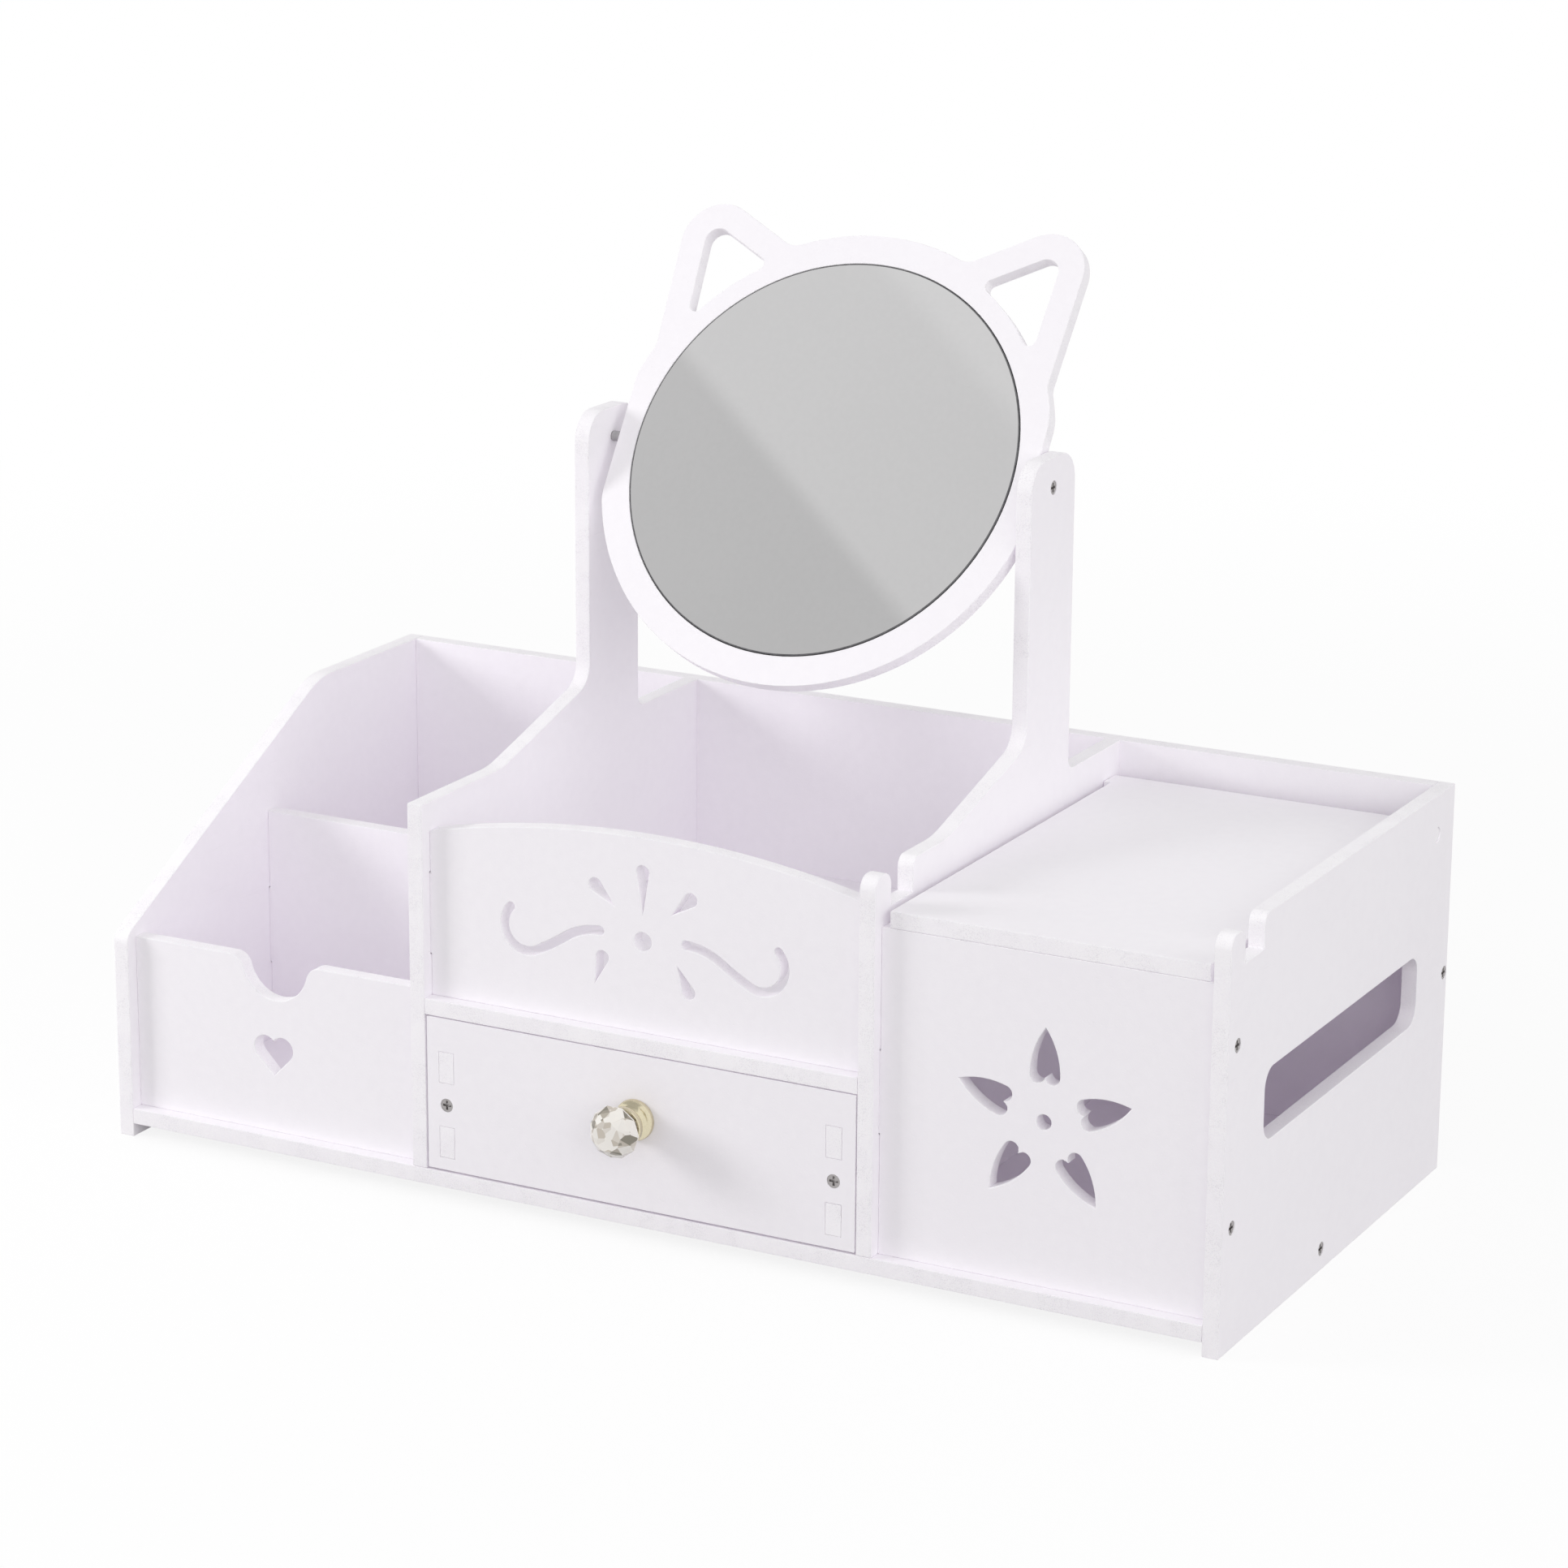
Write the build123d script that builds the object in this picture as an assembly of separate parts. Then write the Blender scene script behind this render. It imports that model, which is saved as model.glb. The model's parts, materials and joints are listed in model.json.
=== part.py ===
from build123d import *
import math
import os

# Desktop makeup organiser of white foam board with a turning mirror, a drawer,
# two open bins on the left, one in the centre and a lidded box on the right.
# Lengths are millimetres. X runs to the right, Y to the rear, Z up from the floor.
# The origin is on the floor, in the middle of the bounding box.

# Whole carcass
width = 440.0
depth = 204.0
board = 6.0
foot_lift = 5.0
side_height = 146.0
front_inset = 5.0

# Fits and cutting
tab_fit = 0.1
running_fit = 0.08
screw_fit = 0.05
cut_overrun = 2.0

# Tabs of one board in the face of the next
tab_depth = 3.0
tab_length = 30.0

# Left side panel
left_front_height = 78.0
left_slope_run = 130.0
left_nose_radius = 6.0
left_brow_radius = 30.0

# Left bins
left_panel_height = 65.5
dip_radius = 14.0
dip_depth = 15.0
dip_shoulder_radius = 6.0
heart_width = 16.5
heart_length = 14.8
heart_height = 47.5
heart_offset = 1.2
heart_lobe_share = 0.28
divider_setback = 92.0
divider_height = 91.0

# Drawer bay and centre bin
drawer_bay_height = 58.0
arch_end_height = 60.5
arch_rise = 10.0

# Flower and scrolls of the centre front panel
flower_height = 34.5
flower_dot_radius = 3.4
flower_dot_drop = 1.4
flower_petal_length = 12.0
flower_petal_width = 5.0
flower_petal_reach = 21.5
flower_top_start = 9.0
flower_top_length = 17.0
flower_petal_angles = (41.0, 139.0, 217.0, 320.0)
flower_petal_turns = (41.0, 139.0, 73.0, 297.0)
scroll_start = 17.0
scroll_reach = 36.0
scroll_drop = 11.0
scroll_stroke = 3.2
scroll_mid_share = 0.38
scroll_low_share = 0.70
scroll_mid_drop_share = 0.38
scroll_hook_share = 0.30

# Star of the right front panel
star_height = 58.5
star_petals = 5
star_tip_radius = 33.0
star_lobe_radius = 13.5
star_petal_width = 11.0
star_dot_radius = 2.7
star_lobe_share = 0.253

# Mirror posts
post_setback = 116.5
post_width = 36.0
post_height = 264.0
post_corner_radius = 11.0
slope_start = 54.0
slope_rise = 17.5
slope_bend_radius = 40.0
post_root_radius = 10.0
post_heel_radius = 4.0
pivot_drop = 11.0

# Lid and finger notches of the right-hand box
lid_drop = 12.0
lid_side_gap = 3.0
lid_rear_gap = 5.0
lid_ear_length = 10.0
lid_ear_fit = 0.3
lid_peg_shave = 0.45
horn_width = 12.0
horn_radius = 5.0
notch_width = 16.0
notch_radius = 4.0

# Tissue slot in the right side panel
slot_length = 140.5
slot_width = 25.5
slot_radius = 7.0
slot_setback = 103.25
slot_height = 77.75

# Drawer
drawer_front_gap = 0.8
drawer_close_gap = 0.4
drawer_run_gap = 0.3
drawer_side_room = 5.7
drawer_side_height = 47.0
drawer_rear_room = 8.0
drawer_tab_length = 11.5
drawer_tab_spread = 28.0
drawer_screw_height = 25.0

# Knob
knob_height = 34.0
collar_foot_radius = 7.5
collar_foot_length = 2.2
collar_neck_radius = 4.2
collar_neck_length = 3.5
collar_cup_radius = 7.0
collar_cup_length = 3.5
collar_cup_depth = 2.0
crystal_radius = 10.0
crystal_sides = 10
crystal_seat_radius = 5.6
crystal_neck_radius = 5.2
crystal_table_radius = 5.8
crystal_skirt_length = 7.5
crystal_crown_length = 5.8
crystal_facet_share = 0.55

# Mirror
mirror_lean = 33.0
frame_radius = 87.0
mirror_shift = 1.5
pivot_gap = 2.4
flat_depth = 3.4
flat_corner_radius = 20.0
frame_band = 11.5
glass_thickness = 3.0
glass_chamfer = 0.4
glass_proud = 0.2
glass_fit = 0.3
pad_thickness = 0.5
pad_margin = 8.0
ear_inset = 20.5
ear_drop = 8.0
ear_radius = 15.0
ear_band = 10.0
ear_sill = 3.5
ear_inner_angle = 66.0
ear_outer_angle = 24.5
ear_root_radius = 8.0
ear_opening_radius = 2.5

# Countersunk screws
screw_radius = 1.5
screw_head_radius = 2.5
screw_head_height = 1.8
screw_length = 20.0
screw_sink = 0.3
recess_width = 0.9
recess_length = 3.4
recess_depth = 0.9
short_screw_length = 16.0
pivot_bite = 5.0
spacer_wall = 0.4
spacer_end_gap = 0.2

# Knob screw
knob_screw_radius = 2.0
knob_screw_head_radius = 4.0
knob_screw_head_height = 2.4
knob_screw_bite = 5.5

# Places of the screws and the shelf's tabs, as shares of the boards they hold
front_screw_shares = (0.28, 0.82)
left_front_screw_share = 0.50
base_screw_share = 0.44
back_screw_share = 0.48
post_foot_screw_shares = (0.20, 0.80)
post_back_screw_shares = (0.22, 0.78)
shelf_tab_shares = (0.20, 0.80)
drawer_bottom_screw_shares = (0.20, 0.80)

# Worked-out places
knob_reach = (collar_foot_length + collar_neck_length + collar_cup_length - collar_cup_depth
              + crystal_skirt_length + crystal_crown_length)
half = width / 2
side_inner = half - board
frame_flat = frame_radius - flat_depth
post_inner = frame_flat + pivot_gap
post_outer = post_inner + board
front = (knob_reach - depth) / 2
rear = front + depth
back_face = rear - board
panel_near = front + front_inset
panel_far = panel_near + board
panel_mid = panel_near + board / 2
base_top = foot_lift + board
shelf_bottom = base_top + drawer_bay_height
shelf_top = shelf_bottom + board
lid_top = side_height - lid_drop
lid_bottom = lid_top - board
lid_rear = back_face - lid_rear_gap
lid_pivot_y = lid_rear - lid_ear_length / 2
lid_pivot_z = lid_bottom + board / 2
lid_peg_radius = board / 2 - lid_peg_shave
post_front = front + post_setback
post_rear = post_front + post_width
pivot_y = post_front + post_width / 2
pivot_z = post_height - pivot_drop
glass_radius = frame_radius - frame_band
ear_centre_x = frame_radius - ear_inset
ear_centre_z = frame_radius - ear_drop
divider_near = front + divider_setback
left_bay_middle = -(side_inner + post_outer) / 2
right_bay_middle = (side_inner + post_outer) / 2
drawer_bottom_z = base_top + drawer_run_gap
drawer_outer = post_inner - drawer_side_room
drawer_inner = drawer_outer - board
drawer_rear = back_face - drawer_rear_room
drawer_front_far = front + board
drawer_floor = drawer_bottom_z + board
drawer_screw_z = drawer_bottom_z + drawer_screw_height
knob_z = base_top + knob_height
screw_hole_radius = screw_radius + screw_fit


# Boards and blocks

from_foot = (Align.CENTER, Align.CENTER, Align.MIN)


def block(x_span, y_span, z_span):
    """A box from its lowest to its highest x, y and z."""
    (x0, x1), (y0, y1), (z0, z1) = x_span, y_span, z_span
    middle = Pos((x0 + x1) / 2, (y0 + y1) / 2, (z0 + z1) / 2)
    return middle * Box(x1 - x0, y1 - y0, z1 - z0)


def upright_board(outline, left, thickness):
    """A board across X, cut to a (y, z) outline, with its left face at x = left."""
    return extrude(Plane.YZ.offset(left) * outline, thickness)


def facing_board(outline, near, thickness):
    """A board across Y, cut to an (x, z) outline, with its front face at y = near."""
    return extrude(Plane.XZ.offset(-near) * outline, -thickness)


def cut_board(points, radii):
    """A flat outline with straight sides and rounded corners."""
    return make_face(FilletPolyline(*points, radius=radii, close=True))


def rectangle_between(low, high):
    """A rectangle from its lower left to its upper right corner."""
    middle = Pos((low[0] + high[0]) / 2, (low[1] + high[1]) / 2)
    return middle * Rectangle(high[0] - low[0], high[1] - low[1])


def tab_block(x_span, y_span, z_span, clearance):
    """A tab, or with a clearance the mortise that takes it."""
    return block(*[(low - clearance, high + clearance) for low, high in (x_span, y_span, z_span)])


# Fasteners

def screw_place(point, direction):
    """The place of a screw, with its own +Z pointing the way it is driven."""
    return Plane(point, z_dir=direction)


def countersunk_screw(length):
    """A countersunk screw with a cross recess, driven towards +Z from its head face at z = 0."""
    cone = Cone(screw_head_radius, screw_radius, screw_head_height, align=from_foot)
    shank_length = length - screw_head_height
    shank = Pos(0, 0, screw_head_height) * Cylinder(screw_radius, shank_length, align=from_foot)
    arms = [Box(recess_length, recess_width, recess_depth, align=from_foot),
            Box(recess_width, recess_length, recess_depth, align=from_foot)]
    return cone + shank - arms


def screw_hole(length, radius):
    """The hole for such a screw, sunk a little below the face it is driven through."""
    head = screw_head_radius + screw_fit
    mouth_depth = screw_sink + cut_overrun
    mouth = Pos(0, 0, -mouth_depth) * Cylinder(head, mouth_depth, align=from_foot)
    cone = Cone(head, radius, screw_head_height, align=from_foot)
    shank = Cylinder(radius, length + screw_fit, align=from_foot)
    return mouth + cone + shank


def sunk(point, direction):
    """A screw's place, moved in from the board's face by the depth that its head is sunk."""
    return screw_place(Vector(point) + Vector(direction) * screw_sink, direction)


def screws_at(places, length):
    """A group of like screws."""
    return Compound([sunk(*place) * countersunk_screw(length) for place in places])


def holes_at(places, length):
    """The holes of a group of like screws."""
    return [sunk(*place) * screw_hole(length, screw_hole_radius) for place in places]


def between(low, high, share):
    """The place at a share of the way from low to high."""
    return low + (high - low) * share


# Ornaments

def heart(span, length):
    """A heart with straight sides, its tip at the origin and its lobes towards +Y."""
    lobe = span * heart_lobe_share
    round_lobe = Pos(span / 2 - lobe, length - lobe) * Circle(lobe)
    half_heart = make_hull([*round_lobe.edges(), Line((0, 0), (0, length - lobe))])
    return half_heart + mirror(half_heart, Plane.YZ)


def full_heart(span, length):
    """A slim heart with curved sides and a deep notch, its tip at the origin and its lobes towards +Y."""
    lobe = span * star_lobe_share
    middle = span / 2 - lobe
    shoulder = (span / 2, length - lobe)
    notch = (0, length - lobe + math.sqrt(lobe ** 2 - middle ** 2))
    side = TangentArc(shoulder, (0, 0), tangent=(0, -1))
    crown = ThreePointArc(shoulder, (middle, length), notch)
    return make_face([side, crown, mirror(side, Plane.YZ), mirror(crown, Plane.YZ)])


def petal(length, span):
    """A drop-shaped petal from its point at the origin to its round end along +X."""
    round_end = Pos(length - span / 2, 0) * Circle(span / 2)
    return make_hull([*round_end.edges(), Line((0, 0), (length - span / 2, 0))])


def scroll():
    """A rising scroll line with round ends, to the right of the flower's middle."""
    start = (scroll_start, 0)
    bend = (scroll_start + scroll_reach * scroll_mid_share, -scroll_drop * scroll_mid_drop_share)
    low = (scroll_start + scroll_reach * scroll_low_share, -scroll_drop)
    end = (scroll_start + scroll_reach, scroll_drop * scroll_hook_share)
    lead = TangentArc(start, bend, tangent=(1, 0))
    dive = TangentArc(bend, low, tangent=lead % 1)
    hook = TangentArc(low, end, tangent=dive % 1)
    line = trace([lead, dive, hook], scroll_stroke)
    return line + [Pos(*tip) * Circle(scroll_stroke / 2) for tip in (start, end)]


# Screw places: the point on the face it is driven through, and the way it is driven
base_mid = foot_lift + board / 2
back_mid = rear - board / 2
back_screw_z = between(base_top, side_height, back_screw_share)
base_screw_y = between(front, rear, base_screw_share)
right_front_zs = [between(base_top, lid_bottom, share) for share in front_screw_shares]
left_front_z = base_top + left_panel_height * left_front_screw_share
rightward, leftward, rearward, forward, upward = (1, 0, 0), (-1, 0, 0), (0, 1, 0), (0, -1, 0), (0, 0, 1)

left_side_places = [((-half, base_screw_y, base_mid), rightward),
                    ((-half, back_mid, back_screw_z), rightward),
                    ((-half, panel_mid, left_front_z), rightward)]
right_side_places = [((half, base_screw_y, base_mid), leftward),
                     ((half, back_mid, back_screw_z), leftward)]
right_side_places += [((half, panel_mid, z), leftward) for z in right_front_zs]
post_mids = (-(post_inner + post_outer) / 2, (post_inner + post_outer) / 2)
base_places = [((x, between(front, back_face, share), foot_lift), upward)
               for x in post_mids for share in post_foot_screw_shares]
back_places = [((x, rear, between(base_top, side_height, share)), forward)
               for x in post_mids for share in post_back_screw_shares]
left_side_holes = holes_at(left_side_places, screw_length)
right_side_holes = holes_at(right_side_places, screw_length)
base_holes = holes_at(base_places, screw_length)
back_holes = holes_at(back_places, screw_length)

# Tabs that hold the front panels, the divider and the shelf in the upright boards
left_panel_tab_z = base_top + left_panel_height / 2
divider_tab_z = base_top + divider_height / 2
right_panel_tab_z = (base_top + lid_bottom) / 2
arch_tab_z = shelf_top + arch_end_height / 2
shelf_tab_ys = [between(front, back_face, share) for share in shelf_tab_shares]


def span_about(middle):
    """The span of one tab, along its board's edge."""
    return (middle - tab_length / 2, middle + tab_length / 2)


panel_y = (panel_near, panel_far)
divider_y = (divider_near, divider_near + board)
shelf_z = (shelf_bottom, shelf_top)
left_panel_tabs = [((-post_outer, -post_outer + tab_depth), panel_y, span_about(left_panel_tab_z))]
divider_tabs = [((-post_outer, -post_outer + tab_depth), divider_y, span_about(divider_tab_z)),
                ((-side_inner - tab_depth, -side_inner), divider_y, span_about(divider_tab_z))]
right_panel_tabs = [((post_outer - tab_depth, post_outer), panel_y, span_about(right_panel_tab_z))]
inner_ends = [(-post_inner - tab_depth, -post_inner), (post_inner, post_inner + tab_depth)]
arch_tabs = [(ends, panel_y, span_about(arch_tab_z)) for ends in inner_ends]
shelf_tabs = [(ends, span_about(y), shelf_z) for ends in inner_ends for y in shelf_tab_ys]


def tabs_of(spans):
    """The tabs themselves."""
    return [tab_block(*span, 0) for span in spans]


def mortises_of(spans):
    """The mortises that take them."""
    return [tab_block(*span, tab_fit) for span in spans]


# Carcass boards

def make_base_board():
    board_block = block((-side_inner, side_inner), (front, rear), (foot_lift, base_top))
    return board_block - base_holes - left_side_holes - right_side_holes


def make_back_panel():
    board_block = block((-side_inner, side_inner), (back_face, rear), (base_top, side_height))
    return board_block - back_holes - left_side_holes - right_side_holes


def make_left_side_panel():
    outline = cut_board(
        [(front, 0), (rear, 0), (rear, side_height), (front + left_slope_run, side_height),
         (front, left_front_height)],
        [0, 0, 0, left_brow_radius, left_nose_radius])
    panel = upright_board(outline, -half, board)
    return panel - left_side_holes - mortises_of(divider_tabs)


def finger_notch():
    """The (y, z) notch behind the front horn of a board beside the lid."""
    low = (front + horn_width, lid_top)
    high = (front + horn_width + notch_width, side_height + cut_overrun)
    return rectangle_between(low, high)


def round_notch(outline):
    """Round the horn in front of the finger notch and the corner behind it."""
    horn_corners = [(front, side_height), (front + horn_width, side_height)]
    for corner in horn_corners:
        outline = fillet(outline.vertices().sort_by_distance(corner)[0], horn_radius)
    back_corner = (front + horn_width + notch_width, side_height)
    return fillet(outline.vertices().sort_by_distance(back_corner)[0], notch_radius)


def make_right_side_panel():
    outline = rectangle_between((front, 0), (rear, side_height)) - finger_notch()
    outline = round_notch(outline)
    tissue_slot = RectangleRounded(slot_length, slot_width, slot_radius)
    outline -= Pos(front + slot_setback, slot_height) * tissue_slot
    panel = upright_board(outline, side_inner, board)
    return panel - right_side_holes - lid_pivot_holes()


def post_outline():
    """The (y, z) outline of a middle board that rises into a mirror post."""
    return cut_board(
        [(front, base_top), (back_face, base_top), (back_face, side_height), (post_rear, side_height),
         (post_rear, post_height), (post_front, post_height), (post_front, side_height + slope_rise),
         (front + slope_start, side_height), (front, side_height)],
        [0, 0, 0, post_heel_radius, post_corner_radius, post_corner_radius, post_root_radius,
         slope_bend_radius, 0])


def make_left_post_panel():
    panel = upright_board(post_outline(), -post_outer, board)
    panel = panel - base_holes - back_holes - pivot_holes()
    return panel - mortises_of(left_panel_tabs + divider_tabs + arch_tabs + shelf_tabs)


def make_right_post_panel():
    outline = round_notch(post_outline() - finger_notch())
    panel = upright_board(outline, post_inner, board)
    panel = panel - base_holes - back_holes - pivot_holes() - lid_pivot_holes()
    return panel - mortises_of(right_panel_tabs + arch_tabs + shelf_tabs)


def make_left_front_panel():
    top = base_top + left_panel_height
    outline = rectangle_between((-side_inner, base_top), (-post_outer, top))
    outline -= Pos(left_bay_middle, top - dip_depth + dip_radius) * Circle(dip_radius)
    half_mouth = math.sqrt(dip_radius ** 2 - (dip_depth - dip_radius) ** 2)
    for corner in ((left_bay_middle - half_mouth, top), (left_bay_middle + half_mouth, top)):
        outline = fillet(outline.vertices().sort_by_distance(corner)[0], dip_shoulder_radius)
    heart_place = Pos(left_bay_middle - heart_offset, heart_height - heart_length)
    outline -= heart_place * heart(heart_width, heart_length)
    panel = facing_board(outline, panel_near, board)
    return panel + tabs_of(left_panel_tabs) - left_side_holes


def make_left_divider():
    divider = block((-side_inner, -post_outer), divider_y, (base_top, base_top + divider_height))
    return divider + tabs_of(divider_tabs)


def make_centre_shelf():
    shelf = block((-post_inner, post_inner), (front, back_face), shelf_z)
    return shelf + tabs_of(shelf_tabs)


def flower():
    """Five petals and a dot between two scrolls."""
    dot = Pos(0, -flower_dot_drop) * Circle(flower_dot_radius)
    top = Rot(0, 0, 90) * Pos(flower_top_start, 0) * petal(flower_top_length, flower_petal_width)
    leaf = Pos(-flower_petal_length / 2, 0) * petal(flower_petal_length, flower_petal_width)
    leaves = [Rot(0, 0, angle) * Pos(flower_petal_reach, 0) * Rot(0, 0, turn - angle) * leaf
              for angle, turn in zip(flower_petal_angles, flower_petal_turns)]
    right_scroll = scroll()
    return [dot, top, *leaves, right_scroll, mirror(right_scroll, Plane.YZ)]


def make_centre_front_panel():
    end_top = shelf_top + arch_end_height
    crest = (0, end_top + arch_rise)
    low_left, low_right = (-post_inner, shelf_top), (post_inner, shelf_top)
    high_left, high_right = (-post_inner, end_top), (post_inner, end_top)
    edge = Polyline(high_left, low_left, low_right, high_right)
    outline = make_face([edge, ThreePointArc(high_right, crest, high_left)])
    outline -= [Pos(0, shelf_top + flower_height) * cut for cut in flower()]
    return facing_board(outline, panel_near, board) + tabs_of(arch_tabs)


def star():
    """Hearts round a dot, each with its tip outwards."""
    length = star_tip_radius - star_lobe_radius
    leaf = Pos(0, star_tip_radius) * Rot(0, 0, 180) * full_heart(star_petal_width, length)
    turns = [360 * step / star_petals for step in range(star_petals)]
    return [Circle(star_dot_radius)] + [Rot(0, 0, turn) * leaf for turn in turns]


def make_right_front_panel():
    outline = rectangle_between((post_outer, base_top), (side_inner, lid_bottom))
    outline -= [Pos(right_bay_middle, base_top + star_height) * cut for cut in star()]
    return facing_board(outline, panel_near, board) + tabs_of(right_panel_tabs) - right_side_holes


# Lid

def lid_pivot_holes():
    """The holes that the lid's pegs turn in."""
    run = side_inner - post_outer + 2 * (board + cut_overrun)
    hole = Cylinder(lid_peg_radius + running_fit, run, rotation=(0, 90, 0))
    return Pos(right_bay_middle, lid_pivot_y, lid_pivot_z) * hole


def make_lid():
    left, right = post_outer + lid_side_gap, side_inner - lid_side_gap
    lid = block((left, right), (panel_near, lid_rear), (lid_bottom, lid_top))
    ear_left, ear_right = post_outer + lid_ear_fit, side_inner - lid_ear_fit
    ears = block((ear_left, ear_right), (lid_rear - lid_ear_length, lid_rear), (lid_bottom, lid_top))
    peg = Cylinder(lid_peg_radius, board, rotation=(0, 90, 0))
    peg_middles = (ear_left - board / 2, ear_right + board / 2)
    pegs = [Pos(x, lid_pivot_y, lid_pivot_z) * peg for x in peg_middles]
    return lid + ears + pegs


# Drawer

drawer_tab_zs = [drawer_screw_z - drawer_tab_spread / 2, drawer_screw_z + drawer_tab_spread / 2]
drawer_side_mid = (drawer_inner + drawer_outer) / 2
drawer_front_places = [((side * drawer_side_mid, front, drawer_screw_z), rearward) for side in (-1, 1)]
drawer_rear_mid = drawer_rear - board / 2
drawer_bottom_mid = drawer_bottom_z + board / 2
drawer_side_places = []
for x, way in ((-drawer_outer, rightward), (drawer_outer, leftward)):
    drawer_side_places.append(((x, drawer_rear_mid, drawer_screw_z), way))
    for share in drawer_bottom_screw_shares:
        y = between(drawer_front_far, drawer_rear, share)
        drawer_side_places.append(((x, y, drawer_bottom_mid), way))
drawer_front_holes = holes_at(drawer_front_places, short_screw_length)
drawer_side_holes = holes_at(drawer_side_places, short_screw_length)


def drawer_tabs(side):
    """The spans of the tabs that a drawer side pushes through the drawer front."""
    x_span = tuple(sorted((side * drawer_inner, side * drawer_outer)))
    y_span = (front, drawer_front_far)
    return [(x_span, y_span, (z - drawer_tab_length / 2, z + drawer_tab_length / 2)) for z in drawer_tab_zs]


def make_drawer_front():
    x_span = (-post_inner + drawer_front_gap, post_inner - drawer_close_gap)
    z_span = (base_top + drawer_front_gap, shelf_bottom - drawer_close_gap)
    panel = block(x_span, (front, drawer_front_far), z_span)
    panel -= mortises_of(drawer_tabs(-1) + drawer_tabs(1))
    return panel - drawer_front_holes - knob_screw_hole()


def make_drawer_side(side):
    x_span = tuple(sorted((side * drawer_inner, side * drawer_outer)))
    z_span = (drawer_bottom_z, drawer_bottom_z + drawer_side_height)
    panel = block(x_span, (drawer_front_far, drawer_rear), z_span)
    return panel + tabs_of(drawer_tabs(side)) - drawer_front_holes - drawer_side_holes


def make_drawer_bottom():
    z_span = (drawer_bottom_z, drawer_floor)
    panel = block((-drawer_inner, drawer_inner), (drawer_front_far, drawer_rear), z_span)
    return panel - drawer_side_holes


def make_drawer_back():
    z_span = (drawer_floor, drawer_bottom_z + drawer_side_height)
    panel = block((-drawer_inner, drawer_inner), (drawer_rear - board, drawer_rear), z_span)
    return panel - drawer_side_holes


# Knob, turned about an axis that runs to the front

def knob_place():
    """The knob's foot on the drawer front, with +Z pointing out to the front."""
    return Plane((0, front, knob_z), x_dir=(1, 0, 0), z_dir=forward)


def disc(radius, length, start):
    """A cylinder along the knob's axis, from the given distance in front of the drawer."""
    return Pos(0, 0, start) * Cylinder(radius, length, align=from_foot)


collar_cup_start = collar_foot_length + collar_neck_length
collar_length = collar_cup_start + collar_cup_length
crystal_start = collar_length - collar_cup_depth


def make_knob_collar():
    foot = disc(collar_foot_radius, collar_foot_length, 0)
    neck = disc(collar_neck_radius, collar_neck_length, collar_foot_length)
    cup = disc(collar_cup_radius, collar_cup_length, collar_cup_start)
    collar = foot + neck + cup
    collar -= disc(crystal_seat_radius + running_fit, collar_cup_depth + cut_overrun, crystal_start)
    collar -= disc(knob_screw_radius + screw_fit, knob_screw_bite + screw_fit + cut_overrun, -cut_overrun)
    return knob_place() * collar


def crystal_ring(radius, height):
    """One many-sided section of the crystal."""
    return Pos(0, 0, height) * RegularPolygon(radius, crystal_sides)


def make_knob_crystal():
    girdle = crystal_start + crystal_skirt_length
    table = girdle + crystal_crown_length
    waist = crystal_start + collar_cup_depth
    seat = disc(crystal_seat_radius, collar_cup_depth, crystal_start)
    widest = crystal_ring(crystal_radius, girdle)
    skirt = loft([crystal_ring(crystal_neck_radius, waist), widest], ruled=True)
    shoulder = girdle + crystal_crown_length * crystal_facet_share
    shoulder_radius = between(crystal_radius, crystal_table_radius, 1 - crystal_facet_share)
    crown = loft([widest, crystal_ring(shoulder_radius, shoulder),
                  crystal_ring(crystal_table_radius, table)], ruled=True)
    return knob_place() * (seat + skirt + crown)


def knob_screw_hole():
    """The hole in the drawer front for the knob's screw."""
    run = board + 2 * cut_overrun
    return knob_place() * disc(knob_screw_radius + screw_fit, run, -board - cut_overrun)


def make_knob_screw():
    head = disc(knob_screw_head_radius, knob_screw_head_height, -board - knob_screw_head_height)
    shank = disc(knob_screw_radius, board + knob_screw_bite, -board)
    slot = Pos(0, 0, -board - knob_screw_head_height) * Box(
        2 * knob_screw_head_radius, recess_width, recess_depth, align=from_foot)
    return knob_place() * (head + shank - slot)


# Mirror, drawn upright about its pivot axis, then leant back and moved a little to the right

mirror_rest = Pos(mirror_shift, pivot_y, pivot_z) * Rot(-mirror_lean, 0, 0)
frame_near = -board / 2
pocket_depth = glass_thickness - glass_proud + pad_thickness
glass_near = frame_near - glass_proud
pad_near = glass_near + glass_thickness
pivot_screw_length = board + pivot_gap + pivot_bite - screw_sink
pivot_places = [((-post_outer, pivot_y, pivot_z), rightward), ((post_outer, pivot_y, pivot_z), leftward)]


def rim_point(angle):
    """A point on the frame's round outline."""
    turn = math.radians(angle)
    return (frame_radius * math.cos(turn), frame_radius * math.sin(turn))


def ear_outline():
    """The right-hand ear, solid: a round tip whose two sides run down to the frame."""
    tip = Pos(ear_centre_x, ear_centre_z) * Circle(ear_radius)
    sides = [Line((0, 0), rim_point(ear_inner_angle)), Line((0, 0), rim_point(ear_outer_angle))]
    return make_hull([*tip.edges(), *sides])


def opening_foot(angle, turn):
    """A point low on a side of an ear's opening, a band's width inside the ear's own side."""
    foot = Vector(*rim_point(angle))
    reach = Vector(ear_centre_x, ear_centre_z) - foot
    lean = math.degrees(math.asin(ear_radius / reach.length))
    upward = reach.normalized().rotate(Axis.Z, turn * lean)
    inward = upward.rotate(Axis.Z, -turn * 90)
    return foot + (inward - upward) * ear_band


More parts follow.
